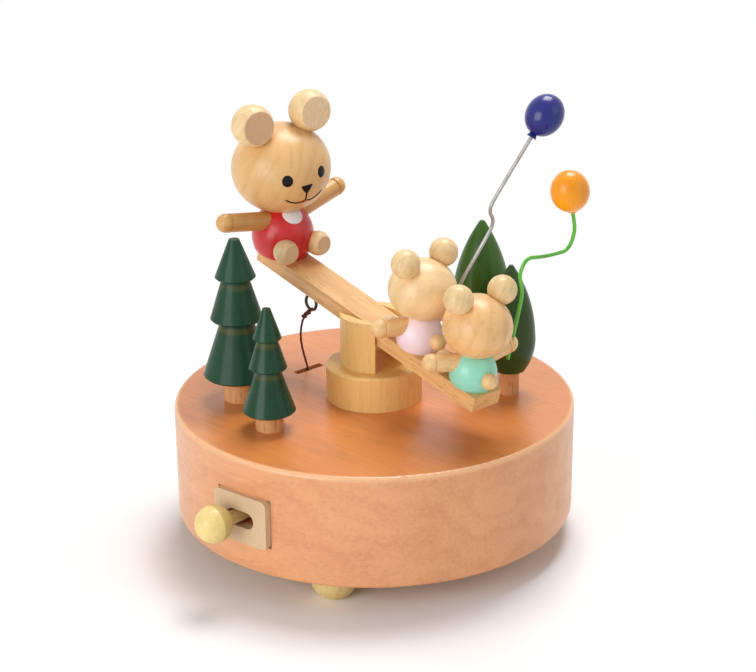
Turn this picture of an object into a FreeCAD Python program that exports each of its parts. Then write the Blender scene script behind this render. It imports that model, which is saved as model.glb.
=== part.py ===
"""Wooden music box with a teddy-bear seesaw on a round drum, as a parametric document.

Millimetres, +Z up. The origin is on the drum's axis, level with the flats of the feet.
"""
import FreeCAD
import Part
import Sketcher
import math
import os

DIMENSIONS = {
    # Drum, bottom board and feet
    "drum_radius": 57.5,
    "drum_height": 32.5,
    "drum_rounding": 1.2,
    "wall": 8.0,
    "ceiling": 6.3,
    "rebate_width": 3.0,
    "board_thickness": 4.5,
    "seat_clearance": 0.1,
    "running_clearance": 0.05,
    "foot_height": 8.3,
    "foot_radius": 6.75,
    "foot_flat": 3.2,
    "foot_inset": 11.6,
    "foot_azimuth": -111.0,
    "screw_inset": 6.5,
    "screw_radius": 0.8,
    "screw_head": 1.35,
    "screw_head_height": 1.0,
    "screw_length": 9.0,
    # Stop lever on the drum's side
    "lever_azimuth": -135.0,
    "lever_height": 15.7,
    "plate_width": 18.4,
    "plate_height": 14.2,
    "plate_thickness": 2.8,
    "plate_proud": 1.3,
    "plate_corner": 1.6,
    "slot_half_length": 4.8,
    "slot_height": 4.8,
    "lever_radius": 1.9,
    "lever_rest": 9.5,
    "lever_inset": 12.0,
    "lever_tail_gap": 2.6,
    "knob_radius": 5.2,
    "knob_reach": 20.2,
    "knob_flat": 4.9,
    "lever_pin_radius": 1.0,
    "lever_collar": 2.4,
    "lever_collar_height": 1.5,
    "lever_pin_depth": 3.0,
    # Seesaw stand
    "disc_radius": 13.8,
    "disc_height": 10.3,
    "disc_rounding": 0.8,
    "cheek_radius": 9.6,
    "cheek_height": 14.8,
    "beam_gap": 0.9,
    "axle_height": 12.38,
    "axle_radius": 1.2,
    "axle_bite": 2.2,
    # Beam, in its own frame: along the beam towards the bear, across it, up from its middle
    "bear_azimuth": 126.5,
    "rest_tilt": 14.3,
    "beam_half_length": 46.0,
    "beam_width": 10.8,
    "beam_thickness": 4.5,
    "beam_edge": 0.5,
    "eye_along": 25.7,
    "eye_drop": 5.55,
    "eye_ring": 2.25,
    "eye_wire": 0.45,
    "eye_shank": 3.0,
    # Cord slot in the drum's top, and the cord
    "cord_slot_circle": 28.6,
    "cord_slot_length": 10.2,
    "cord_slot_width": 2.4,
    "cord_radius": 0.35,
    "knot_radius": 0.95,
    # Big bear
    "bear_seat_inset": 5.3,
    "bear_head_height": 25.4,
    "bear_head_radius": 14.6,
    "bear_head_half_height": 13.2,
    "bear_head_turn": -10.5,
    "bear_head_roll": 5.7,
    "bear_ear_radius": 6.15,
    "bear_ear_side": 9.51,
    "bear_ear_up": 15.69,
    "bear_ear_front": 3.56,
    "bear_ear_flat": 3.9,
    "bear_body_radius": 9.2,
    "bear_body_half_height": 10.0,
    "bear_body_up": 5.0,
    "bear_arm_radius": 2.75,
    "bear_arm_reach": 24.2,
    "bear_arm_up": 9.3,
    "bear_arm_raise_left": 15.6,
    "bear_arm_raise_right": 9.7,
    "bear_foot_radius": 3.7,
    "bear_foot_front": 8.56,
    "bear_foot_side": 6.27,
    "bear_foot_up": 2.68,
    "bear_foot_flat": 2.7,
    "bear_tail_radius": 3.0,
    "bear_tail_back": 9.6,
    "bear_tail_up": 4.6,
    "hand_length": 3.6,
    "groove_depth": 0.35,
    # Cubs
    "pink_seat": -18.26,
    "pink_lean": 9.0,
    "pink_turn": 0.9,
    "mint_seat": -39.6,
    "mint_lean": 8.0,
    "mint_turn": -8.2,
    "cub_head_height": 16.9,
    "cub_head_radius": 9.6,
    "cub_head_half_height": 8.72,
    "cub_ear_radius": 4.07,
    "cub_ear_side": 7.4,
    "cub_ear_up": 9.2,
    "cub_ear_flat": 2.6,
    "cub_body_radius": 6.6,
    "cub_body_half_height": 7.0,
    "cub_body_up": 3.2,
    "cub_arm_radius": 2.6,
    "cub_arm_reach": 14.6,
    "cub_arm_up": 6.3,
    "cub_arm_raise_right": 14.0,
    "cub_arm_forward_left": 22.0,
    "cub_foot_radius": 2.9,
    "cub_foot_front": 7.6,
    "cub_foot_side": 4.4,
    "cub_foot_up": 4.3,
    "cub_foot_flat": 2.1,
    "cub_tail_radius": 2.3,
    "cub_tail_back": 7.2,
    "cub_tail_up": 3.4,
    # Balloons
    "balloon_radius": 5.25,
    "balloon_half_length": 6.0,
    "balloon_neck": 0.9,
    "balloon_knot": 1.5,
    "balloon_knot_height": 1.4,
    "wire_radius": 0.52,
    # Trees: places on the drum's top, in from its rim, then sizes
    "fir_tall_inset": 18.67,
    "fir_tall_azimuth": 175.8,
    "fir_short_inset": 20.1,
    "fir_short_azimuth": -147.5,
    "round_front_inset": 18.5,
    "round_front_azimuth": -5.1,
    "round_back_inset": 21.6,
    "round_back_azimuth": 21.7,
    "fir_tall_trunk_radius": 4.4,
    "fir_tall_trunk_height": 7.3,
    "fir_tall_height": 48.0,
    "fir_tall_skirt": 10.0,
    "fir_short_trunk_radius": 3.9,
    "fir_short_trunk_height": 5.2,
    "fir_short_height": 35.2,
    "fir_short_skirt": 7.4,
    "round_front_trunk_radius": 2.8,
    "round_front_trunk_height": 7.2,
    "round_front_height": 38.7,
    "round_front_belly": 7.2,
    "round_back_trunk_radius": 3.4,
    "round_back_trunk_height": 8.8,
    "round_back_height": 47.0,
    "round_back_belly": 8.7,
    # Music movement: bed, posts and comb block
    "movement_azimuth": -141.0,
    "bed_thickness": 1.6,
    "bed_length": 59.0,
    "bed_width": 39.0,
    "bed_along": 12.5,
    "bed_aside": 4.5,
    "bed_wall_gap": 1.0,
    "bed_post_gap": 0.8,
    "post_near": 14.6,
    "post_far": 35.0,
    "post_thickness": 0.9,
    "post_width": 5.0,
    "post_cap": 2.6,
    "comb_block_length": 17.0,
    "comb_block_width": 8.0,
    # Spring barrel, mainspring, crank and key
    "barrel_radius": 13.0,
    "barrel_height": 5.9,
    "barrel_lift": 0.3,
    "barrel_wall": 1.0,
    "arbor_radius": 1.6,
    "arbor_overrun": 0.8,
    "arbor_end_gap": 0.2,
    "crown_circle": 11.0,
    "crown_pin_radius": 0.42,
    "crown_pin_height": 1.4,
    "spring_leaf": 0.35,
    "spring_inner_gap": 0.4,
    "spring_outer_gap": 0.3,
    "spring_floor_gap": 0.4,
    "spring_roof_gap": 0.6,
    "hub_radius": 2.0,
    "crank_radius": 6.7,
    "crank_disc_radius": 8.6,
    "crank_disc_thickness": 1.6,
    "crank_pin_radius": 0.9,
    "crank_pin_height": 1.4,
    "crank_drop": 3.5,
    "key_radius": 11.0,
    "key_thickness": 1.6,
    "key_floor_gap": 1.2,
    "key_board_gap": 0.4,
    "key_hub": 3.0,
    "key_socket": 3.0,
    # Pinned cylinder and comb
    "cylinder_radius": 6.3,
    "cylinder_start": 16.0,
    "cylinder_end": 32.0,
    "cylinder_axis_height": 9.95,
    "cylinder_arbor": 1.0,
    "cylinder_arbor_start": 8.3,
    "cylinder_arbor_end": 35.7,
    "cylinder_collar": 2.2,
    "music_pin_radius": 0.25,
    "music_pin_height": 0.4,
    "pinion_start": 8.8,
    "pinion_length": 4.4,
    "pinion_root": 1.9,
    "pinion_tip": 3.6,
    "gear_start": 32.6,
    "gear_thickness": 1.4,
    "gear_root": 5.05,
    "gear_tip": 5.7,
    "comb_gap": 0.65,
    "comb_length": 15.0,
    "comb_thickness": 1.0,
    "comb_slit": 0.3,
    "comb_slit_bass": 6.6,
    "comb_slit_step": 0.16,
    # Governor
    "train_distance": 7.2,
    "governor_arbor": 0.7,
    "governor_arbor_start": 32.3,
    "governor_arbor_end": 38.9,
    "governor_pinion_root": 1.25,
    "governor_pinion_tip": 2.05,
    "worm_wheel_root": 2.55,
    "worm_wheel_tip": 3.25,
    "worm_wheel_thickness": 0.9,
    "worm_wheel_pitch": 3.056,
    "governor_start": 35.6,
    "governor_end": 39.0,
    "governor_side": 3.0,
    "governor_back": 15.4,
    "governor_foot": 1.2,
    "governor_cheek": 4.4,
    "governor_cheek_inner": 0.4,
    "governor_cheek_outer": 0.8,
    "governor_cheek_rise": 2.4,
    "governor_column": 2.0,
    "governor_height": 14.0,
    "governor_arm": 7.2,
    "worm_along": 36.7,
    "worm_distance": 4.4,
    "worm_core": 0.9,
    "worm_tip": 1.6,
    "worm_length": 4.8,
    "worm_shoulder": 0.3,
    "thread_bite": 0.15,
    "thread_root": 0.4,
    "thread_crest": 0.24,
    "spindle_foot": 0.8,
    "spindle_length": 12.8,
    "spindle_seat": 0.6,
    "vane_lift": 3.5,
    "vane_span": 6.2,
    "vane_thickness": 0.5,
    "vane_height": 3.2,
    "vane_hub": 1.1,
}

CROWN_PINS = 30
PINION_LEAVES = 8
GEAR_TEETH = 36
GOVERNOR_PINION_TEETH = 12
WORM_WHEEL_LEAVES = 12
WORM_STARTS = 2
COMB_TEETH = 18
SPRING_TURNS = 6
FOOT_COUNT = 3

# A tooth's share of one pitch, at its root and at its tip
PINION_SHARES = (0.36, 0.2)
GEAR_SHARES = (0.5, 0.26)
GOVERNOR_PINION_SHARES = (0.55, 0.2)
WORM_WHEEL_SHARES = (0.3, 0.16)
# Turn between one note's pin and the next note's, and between a note's two pins
NOTE_TURN = 137.5
BEAT_TURN = 150.0
NOTE_PINS = 2
# Degrees that bring a ball's seam clear of the pieces that cut it
BODY_SEAM = 140
TAIL_SEAM = 50

DOC = FreeCAD.newDocument("music_box")
SHEET = DOC.addObject("Spreadsheet::Sheet", "dims")
NODES = []
X_AXIS = FreeCAD.Vector(1, 0, 0)
Y_AXIS = FreeCAD.Vector(0, 1, 0)
Z_AXIS = FreeCAD.Vector(0, 0, 1)


def fill_sheet():
    """Writes every driving dimension into the sheet, one row each."""
    for row, (alias, number) in enumerate(DIMENSIONS.items(), start=1):
        SHEET.set("A%d" % row, alias)
        SHEET.set("B%d" % row, str(number))
        SHEET.setAlias("B%d" % row, alias)
    DOC.recompute()


def size(alias):
    """Reads one driving dimension from the sheet."""
    return float(SHEET.get(alias))


def vector(x=0.0, y=0.0, z=0.0):
    return FreeCAD.Vector(x, y, z)


def turn(axis, degrees):
    return FreeCAD.Rotation(axis, degrees)


def place(x=0.0, y=0.0, z=0.0, rotation=None):
    return FreeCAD.Placement(vector(x, y, z), rotation or FreeCAD.Rotation())


def polar(radius, azimuth, z=0.0, spin=None):
    """A place on a circle about the drum's axis, turned to face outwards."""
    angle = math.radians(azimuth)
    facing = azimuth if spin is None else spin
    return place(radius * math.cos(angle), radius * math.sin(angle), z, turn(Z_AXIS, facing))


def solid(kind, name, where, **sizes):
    """A Part primitive whose sizes are bound to sheet expressions."""
    item = DOC.addObject("Part::" + kind, name)
    for prop, expression in sizes.items():
        item.setExpression(prop, expression)
    item.Placement = where
    return item


def sphere(name, where, radius):
    return solid("Sphere", name, where, Radius=radius)


def cylinder(name, where, radius, height):
    return solid("Cylinder", name, where, Radius=radius, Height=height)


def cone(name, where, bottom, top, height):
    return solid("Cone", name, where, Radius1=bottom, Radius2=top, Height=height)


def box(name, where, length, width, height):
    """A box that is centred on its place in X and Y and stands on it in Z."""
    item = solid("Box", name, where, Length=length, Width=width, Height=height)
    DOC.recompute([item])
    corner = place(-item.Length.Value / 2, -item.Width.Value / 2)
    item.Placement = where.multiply(corner)
    return item


def ellipsoid(name, where, radius, half_height):
    item = solid("Ellipsoid", name, where, Radius1=half_height, Radius2=radius, Radius3=radius)
    item.Angle1 = -90
    item.Angle2 = 90
    item.Angle3 = 360
    return item


def fuse(name, pieces):
    item = DOC.addObject("Part::MultiFuse", name)
    item.Shapes = pieces
    item.Refine = True
    return item


def cut(name, base, tool):
    item = DOC.addObject("Part::Cut", name)
    item.Base = base
    item.Tool = tool
    return item


def shape(name, form, where=None):
    """A feature whose form comes from Part's own functions."""
    item = DOC.addObject("Part::Feature", name)
    item.Shape = form
    if where is not None:
        item.Placement = where
    return item


def group(name, pieces):
    """Several separate solids kept as one node."""
    item = DOC.addObject("Part::Compound", name)
    item.Links = pieces
    return item


def node(item, label):
    """Gives a finished sub-part the name of its node."""
    item.Label = label
    NODES.append(item)
    return item


def new_body(name):
    return DOC.addObject("PartDesign::Body", name)


def origin_plane(body, role):
    for feature in body.Origin.OriginFeatures:
        if feature.Role == role:
            return feature
    raise LookupError(role)


def closed_sketch(body, name, plane, corners):
    """A closed polygon whose corners are pairs of sheet expressions, each one constrained."""
    sketch = body.newObject("Sketcher::SketchObject", name)
    sketch.AttachmentSupport = [(origin_plane(body, plane), "")]
    sketch.MapMode = "FlatFace"
    spots = []
    for across, along in corners:
        spots.append(vector(SHEET.evalExpression(across), SHEET.evalExpression(along)))
    count = len(spots)
    for index in range(count):
        sketch.addGeometry(Part.LineSegment(spots[index], spots[(index + 1) % count]), False)
    for index in range(count):
        sketch.addConstraint(Sketcher.Constraint("Coincident", index, 2, (index + 1) % count, 1))
    for index, (across, along) in enumerate(corners):
        for kind, expression in (("DistanceX", across), ("DistanceY", along)):
            number = SHEET.evalExpression(expression)
            row = sketch.addConstraint(Sketcher.Constraint(kind, -1, 1, index, 1, number))
            sketch.setExpression("Constraints[%d]" % row, expression)
    return sketch


def revolved(body, name, corners):
    """Turns a half section, drawn in the XZ plane, once about the Z axis."""
    sketch = closed_sketch(body, name + "_section", "XZ_Plane", corners)
    feature = body.newObject("PartDesign::Revolution", name)
    feature.Profile = sketch
    feature.ReferenceAxis = (sketch, ["V_Axis"])
    feature.Angle = 360
    DOC.recompute()
    return feature


def padded(body, name, plane, corners, length):
    sketch = closed_sketch(body, name + "_outline", plane, corners)
    feature = body.newObject("PartDesign::Pad", name)
    feature.Profile = sketch
    feature.setExpression("Length", length)
    DOC.recompute()
    return feature


def rounded(body, name, base, edges, radius):
    feature = body.newObject("PartDesign::Fillet", name)
    feature.Base = (base, edges)
    feature.setExpression("Radius", radius)
    DOC.recompute()
    return feature


def circle_edges(form, radius, height):
    """Names of the full circles of one radius at one height."""
    names = []
    for index, edge in enumerate(form.Edges, start=1):
        curve = edge.Curve
        if isinstance(curve, Part.Circle) and abs(curve.Radius - radius) < 1e-6:
            if abs(curve.Center.z - height) < 1e-6:
                names.append("Edge%d" % index)
    return names


def upright_edges(form):
    """Names of the straight edges that stand along Z."""
    names = []
    for index, edge in enumerate(form.Edges, start=1):
        if isinstance(edge.Curve, Part.Line) and abs(edge.tangentAt(edge.FirstParameter).z) > 0.999:
            names.append("Edge%d" % index)
    return names


def bent_tube(name, points, radius, share=0.45):
    """A round tube along straight runs joined by tangent arcs; prints its bend radii."""
    edges = []
    bends = []
    start = points[0]
    for index in range(1, len(points) - 1):
        before = points[index - 1] - points[index]
        after = points[index + 1] - points[index]
        reach = share * min(before.Length, after.Length)
        before.normalize()
        after.normalize()
        half_turn = (math.pi - before.getAngle(after)) / 2
        bend = reach / math.tan(half_turn)
        bends.append(bend)
        inward = before + after
        inward.normalize()
        enter = points[index] + before * reach
        leave = points[index] + after * reach
        middle = points[index] + inward * (bend / math.cos(half_turn) - bend)
        edges.append(Part.LineSegment(start, enter).toShape())
        edges.append(Part.Arc(enter, middle, leave).toShape())
        start = leave
    edges.append(Part.LineSegment(start, points[-1]).toShape())
    path = Part.Wire(edges)
    ring = Part.Wire([Part.Circle(points[0], points[1] - points[0], radius).toShape()])
    tube = path.makePipeShell([ring], True, False)
    expected = math.pi * radius ** 2 * path.Length
    if abs(tube.Volume - expected) > 0.02 * expected:
        raise ValueError("the tube's volume doesn't match its path")
    print("%s: radius %.2f mm, bends of %s mm" % (name, radius, ", ".join("%.1f" % bend for bend in bends)))
    return tube


def lathe(edges):
    """Turns a closed half section in the XZ plane once about the Z axis."""
    return Part.Face(Part.Wire(edges)).revolve(vector(), Z_AXIS, 360)


def lathe_lines(corners):
    """A lathe form whose half section is a polygon of radius and height pairs."""
    points = [vector(radius, 0, height) for radius, height in corners]
    points.append(points[0])
    return lathe(Part.makePolygon(points).Edges)


def gear(teeth, name, shares, thickness):
    """A toothed wheel on the Z axis, with its tooth's shares of one pitch at root and tip."""
    root = size(name + "_root")
    tip = size(name + "_tip")
    root_share, tip_share = shares
    pitch = 2 * math.pi / teeth
    corners = []
    for index in range(teeth):
        middle = index * pitch
        for radius, offset in ((root, -root_share), (tip, -tip_share), (tip, tip_share), (root, root_share)):
            angle = middle + offset * pitch / 2
            corners.append(vector(radius * math.cos(angle), radius * math.sin(angle)))
    corners.append(corners[0])
    return Part.Face(Part.makePolygon(corners)).extrude(vector(z=thickness))


def drum_top():
    return size("foot_height") + size("drum_height")


def board_top():
    return size("foot_height") + size("board_thickness")


def cavity_top():
    return drum_top() - size("ceiling")


def pivot_height():
    return drum_top() + size("disc_height") + size("axle_height")


def beam_frame():
    """The beam's own frame at rest: X towards the bear, Z out of the beam's top."""
    spin = turn(Z_AXIS, size("bear_azimuth")).multiply(turn(Y_AXIS, -size("rest_tilt")))
    return place(z=pivot_height(), rotation=spin)


def seat_frame(along, lean, facing):
    """A figure's frame on the beam's top: X forwards, Y to its left, Z up its own axis."""
    spin = turn(Y_AXIS, lean).multiply(turn(Z_AXIS, facing))
    return beam_frame().multiply(place(along, 0, size("beam_thickness") / 2, spin))


def movement_frame():
    """The movement's frame: X along the pinned cylinder, Z = 0 on the bedplate's top."""
    height = board_top() + size("bed_thickness")
    return place(z=height, rotation=turn(Z_AXIS, size("movement_azimuth")))


def inset(name):
    """Distance from the drum's axis of what stands a set way in from the drum's rim."""
    return size("drum_radius") - size(name + "_inset")


def board_points(name):
    """Distance from the axis and azimuths of what is set three times round the board."""
    return [(inset(name), size("foot_azimuth") + index * 360.0 / FOOT_COUNT) for index in range(FOOT_COUNT)]


def make_drum(screws):
    """The drum is turned from one block, hollow from below, with a rebate for the board."""
    body = new_body("drum_body")
    cavity = "dims.drum_radius - dims.wall"
    rebate = cavity + " + dims.rebate_width"
    roof = "dims.drum_height - dims.ceiling"
    corners = [("0", "dims.drum_height"), ("dims.drum_radius", "dims.drum_height"), ("dims.drum_radius", "0"),
               (rebate, "0"), (rebate, "dims.board_thickness"), (cavity, "dims.board_thickness"),
               (cavity, roof), ("0", roof)]
    turned = revolved(body, "drum_turned", corners)
    outer = size("drum_radius")
    edges = circle_edges(turned.Shape, outer, 0) + circle_edges(turned.Shape, outer, size("drum_height"))
    rounded(body, "drum_edges", turned, edges, "dims.drum_rounding")
    body.Placement = place(z=size("foot_height"))
    slot_place = polar(size("cord_slot_circle"), size("bear_azimuth"), cavity_top())
    slot = box("cord_slot", slot_place, "dims.cord_slot_width", "dims.cord_slot_length", "2 * dims.ceiling")
    level = size("foot_height") + size("lever_height")
    seat = size("drum_radius") + size("plate_proud") - size("plate_thickness")
    pocket_depth = "2 * dims.plate_thickness"
    pocket_place = polar(seat + size("plate_thickness"), size("lever_azimuth"),
                         level - size("plate_height") / 2)
    pocket = box("plate_pocket", pocket_place, pocket_depth, "dims.plate_width + 2 * dims.seat_clearance",
                 "dims.plate_height")
    window_place = polar(size("drum_radius") - size("wall") / 2, size("lever_azimuth"),
                         level - size("slot_height") / 2)
    window = box("lever_window", window_place, "2 * dims.wall", "2 * dims.slot_half_length",
                 "dims.slot_height")
    hollowed = cut("drum_hollowed", body, fuse("drum_cuts", [slot, pocket, window]))
    node(cut("drum", hollowed, screws), "base_drum")


def make_screws():
    """The three screws that hold the bottom board, between the feet."""
    screws = []
    between = 360.0 / FOOT_COUNT / 2
    for index, (circle, azimuth) in enumerate(board_points("screw")):
        spot = polar(circle, azimuth + between, size("foot_height"))
        tag = "_%d" % index
        shank = cylinder("screw_shank" + tag, spot, "dims.screw_radius", "dims.screw_length")
        head = cylinder("screw_top" + tag, spot, "dims.screw_head", "dims.screw_head_height")
        screws.append(fuse("screw" + tag, [shank, head]))
    return node(group("screws", screws), "board_screws")


def make_bottom(screws):
    """The bottom board, and ball feet with flats."""
    radius = "dims.drum_radius - dims.wall + dims.rebate_width - dims.seat_clearance"
    base = size("foot_height")
    disc = cylinder("board_disc", place(z=base), radius, "dims.board_thickness")
    hole = cylinder("board_key_hole", place(z=base), "dims.key_hub + dims.key_board_gap",
                    "dims.board_thickness")
    pivot = polar(inset("lever"), size("lever_azimuth"), board_top() - size("lever_pin_depth"))
    socket = cylinder("lever_pin_hole", pivot, "dims.lever_pin_radius", "2 * dims.lever_pin_depth")
    bored = cut("board_bored", disc, fuse("board_holes", [hole, socket]))
    node(cut("board", bored, screws), "bottom_board")
    centre = math.sqrt(size("foot_radius") ** 2 - size("foot_flat") ** 2)
    feet = []
    for index, (circle, azimuth) in enumerate(board_points("foot")):
        tag = "_%d" % index
        ball = sphere("foot_ball" + tag, polar(circle, azimuth, centre), "dims.foot_radius")
        slab = box("foot_slab" + tag, polar(circle, azimuth), "3 * dims.foot_radius", "3 * dims.foot_radius",
                   "dims.foot_height")
        foot = DOC.addObject("Part::Common", "foot" + tag)
        foot.Base = ball
        foot.Tool = slab
        feet.append(foot)
    node(group("feet", feet), "ball_feet")


def make_stop_lever():
    """A slotted plate let into the drum's side, and a lever with a ball knob that swings in it."""
    azimuth = size("lever_azimuth")
    level = size("foot_height") + size("lever_height")
    body = new_body("plate_body")
    half_width = "dims.plate_width / 2"
    half_height = "dims.plate_height / 2"
    corners = [("-" + half_width, "-" + half_height), (half_width, "-" + half_height),
               (half_width, half_height), ("-" + half_width, half_height)]
    slab = padded(body, "plate_slab", "XY_Plane", corners, "dims.plate_thickness")
    rounded(body, "plate_corners", slab, upright_edges(slab.Shape), "dims.plate_corner")
    seat = size("drum_radius") + size("plate_proud") - size("plate_thickness")
    outward = turn(Z_AXIS, azimuth).multiply(FreeCAD.Rotation(Y_AXIS, Z_AXIS, X_AXIS, "ZXY"))
    frame = FreeCAD.Placement(polar(seat, azimuth, level).Base, outward)
    body.Placement = frame
    run = "2 * dims.slot_half_length - dims.slot_height"
    tools = [box("plate_slot", frame, run, "dims.slot_height", "dims.plate_thickness")]
    for side in (-1, 1):
        offset = side * (size("slot_half_length") - size("slot_height") / 2)
        tools.append(cylinder("plate_slot_end_%d" % (side + 1), frame.multiply(place(offset)),
                              "dims.slot_height / 2", "dims.plate_thickness"))
    node(cut("plate", body, fuse("plate_cuts", tools)), "slot_plate")
    pivot = polar(inset("lever"), azimuth, level, azimuth - size("lever_rest"))
    along = turn(Y_AXIS, 90)
    tail = inset("lever") - size("cylinder_arbor_end") - size("lever_tail_gap")
    rod = cylinder("lever_rod", pivot.multiply(place(-tail, rotation=along)), "dims.lever_radius",
                   "dims.knob_reach + %r" % tail)
    bore_place = polar(inset("lever"), azimuth, level - 2 * size("lever_radius"))
    bore = cylinder("lever_bore", bore_place, "dims.lever_pin_radius + dims.running_clearance",
                    "4 * dims.lever_radius")
    node(cut("lever", rod, bore), "stop_lever")
    knob_place = pivot.multiply(place(size("knob_reach"), rotation=along))
    ball = sphere("knob_ball", knob_place, "dims.knob_radius")
    face_place = pivot.multiply(place(size("knob_reach") + size("knob_flat"), rotation=along))
    face = cylinder("knob_face", face_place, "dims.knob_radius", "dims.knob_radius")
    socket = cylinder("knob_socket", pivot.multiply(place(rotation=along)), "dims.lever_radius",
                      "dims.knob_reach")
    node(cut("knob", ball, fuse("knob_cuts", [face, socket])), "stop_knob")
    spot = polar(inset("lever"), azimuth, board_top() - size("lever_pin_depth"))
    top = level + size("lever_radius") + size("lever_collar_height")
    pin = solid("Cylinder", "lever_pin", spot, Radius="dims.lever_pin_radius")
    pin.Height = top - spot.Base.z
    collar_top = level - size("lever_radius") - size("running_clearance")
    collar = cylinder("lever_collar_ring", polar(inset("lever"), azimuth, board_top()), "dims.lever_collar",
                      "%r" % (collar_top - board_top()))
    node(fuse("pivot_post", [pin, collar]), "lever_pivot")


def make_stand():
    """A round block with two half-round cheeks that hold the beam's axle."""
    body = new_body("disc_body")
    corners = [("0", "0"), ("dims.disc_radius", "0"), ("dims.disc_radius", "dims.disc_height"),
               ("0", "dims.disc_height")]
    turned = revolved(body, "disc_turned", corners)
    edges = circle_edges(turned.Shape, size("disc_radius"), size("disc_height"))
    rounded(body, "disc_edge", turned, edges, "dims.disc_rounding")
    body.Placement = place(z=drum_top())
    node(body, "pivot_disc")
    base = drum_top() + size("disc_height")
    for side, label in ((1, "cheek_near"), (-1, "cheek_far")):
        column = cylinder(label + "_column", place(z=base), "dims.cheek_radius", "dims.cheek_height")
        facing = turn(Z_AXIS, size("bear_azimuth") + side * 90)
        slab = box(label + "_slab", place(z=base, rotation=facing), "dims.beam_width + 2 * dims.beam_gap",
                   "4 * dims.cheek_radius", "dims.cheek_height")
        keep = size("beam_width") / 2 + size("beam_gap")
        other_place = place(z=base, rotation=facing).multiply(place(-2 * size("cheek_radius")))
        other = box(label + "_other", other_place, "4 * dims.cheek_radius", "4 * dims.cheek_radius",
                    "dims.cheek_height")
        across = turn(Y_AXIS, 90)
        bore_place = place(z=pivot_height(), rotation=facing).multiply(place(keep, rotation=across))
        bore = cylinder(label + "_bore", bore_place, "dims.axle_radius + dims.running_clearance",
                        "dims.axle_bite + dims.running_clearance")
        node(cut(label + "_cut", column, fuse(label + "_tools", [slab, other, bore])), label)


def make_beam():
    """The plank, its axle and the screw eye below it."""
    body = new_body("beam_body")
    half = "dims.beam_half_length"
    side = "dims.beam_width / 2"
    corners = [("-" + half, "-" + side), (half, "-" + side), (half, side), ("-" + half, side)]
    plank = padded(body, "beam_plank", "XY_Plane", corners, "dims.beam_thickness")
    plank.Midplane = True
    DOC.recompute()
    rounded(body, "beam_edges", plank, upright_edges(plank.Shape), "dims.beam_edge")
    body.Placement = beam_frame()
    across = turn(X_AXIS, -90)
    reach = size("beam_width") / 2 + size("beam_gap") + size("axle_bite")
    axle_place = beam_frame().multiply(place(y=-reach, rotation=across))
    axle = cylinder("axle_rod", axle_place, "dims.axle_radius",
                    "dims.beam_width + 2 * dims.beam_gap + 2 * dims.axle_bite")
    node(axle, "axle")
    under = -size("beam_thickness") / 2
    upright = turn(X_AXIS, 90)
    ring_place = beam_frame().multiply(place(size("eye_along"), 0, under - size("eye_drop"), upright))
    ring = solid("Torus", "eye_loop", ring_place, Radius1="dims.eye_ring", Radius2="dims.eye_wire")
    shank_base = under - size("eye_drop") + size("eye_ring")
    shank_place = beam_frame().multiply(place(size("eye_along"), 0, shank_base))
    shank = cylinder("eye_stem", shank_place, "dims.eye_wire", "dims.eye_drop - dims.eye_ring + dims.eye_shank")
    eye = node(fuse("eye", [ring, shank]), "screw_eye")
    node(cut("beam_bored", body, fuse("beam_tools", [axle, eye])), "beam")


def limb(name, frame, radius, length):
    """A dowel arm turned about X, with a groove at the wrist and a round hand at its far end."""
    thick = size(radius)
    groove = size("groove_depth")
    wrist = length - size("hand_length")
    palm = length - thick
    diagonal = thick * math.sqrt(0.5)
    shoulder = vector(thick)
    below = vector(thick, 0, wrist - groove)
    above = vector(thick, 0, wrist + groove)
    knuckle = vector(thick, 0, palm)
    tip = vector(z=length)
    section = [
        Part.makeLine(vector(), shoulder),
        Part.makeLine(shoulder, below),
        Part.Arc(below, vector(thick - groove, 0, wrist), above).toShape(),
        Part.makeLine(above, knuckle),
        Part.Arc(knuckle, vector(diagonal, 0, palm + diagonal), tip).toShape(),
        Part.makeLine(tip, vector()),
    ]
    return shape(name + "_dowel", lathe(section), frame.multiply(place(rotation=turn(Y_AXIS, 90))))


def flat_ball(name, where, radius, flat):
    """A ball whose front, towards +X, is cut flat."""
    ball = sphere(name + "_ball", where, "dims." + radius)
    face = cylinder(name + "_face", where.multiply(place(size(flat), rotation=turn(Y_AXIS, 90))),
                    "dims." + radius, "dims." + radius)
    return cut(name + "_flatted", ball, face)


def seated_body(name, frame, head, figure):
    """A body's whole egg, and the egg cut to stand on the beam and hollowed where the head sits."""
    seam_aside = turn(Z_AXIS, BODY_SEAM)
    egg = ellipsoid(name + "_egg", frame.multiply(place(z=size(figure + "_body_up"), rotation=seam_aside)),
                    "dims.%s_body_radius" % figure, "dims.%s_body_half_height" % figure)
    below = beam_frame().multiply(place(z=size("beam_thickness") / 2))
    depth = 3 * size(figure + "_body_half_height")
    slab = box(name + "_slab", below.multiply(place(z=-depth)), "4 * dims.beam_half_length",
               "4 * dims.beam_half_length", "3 * dims.%s_body_half_height" % figure)
    return egg, cut(name + "_seated", egg, fuse(name + "_tools", [slab, head]))


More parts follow.
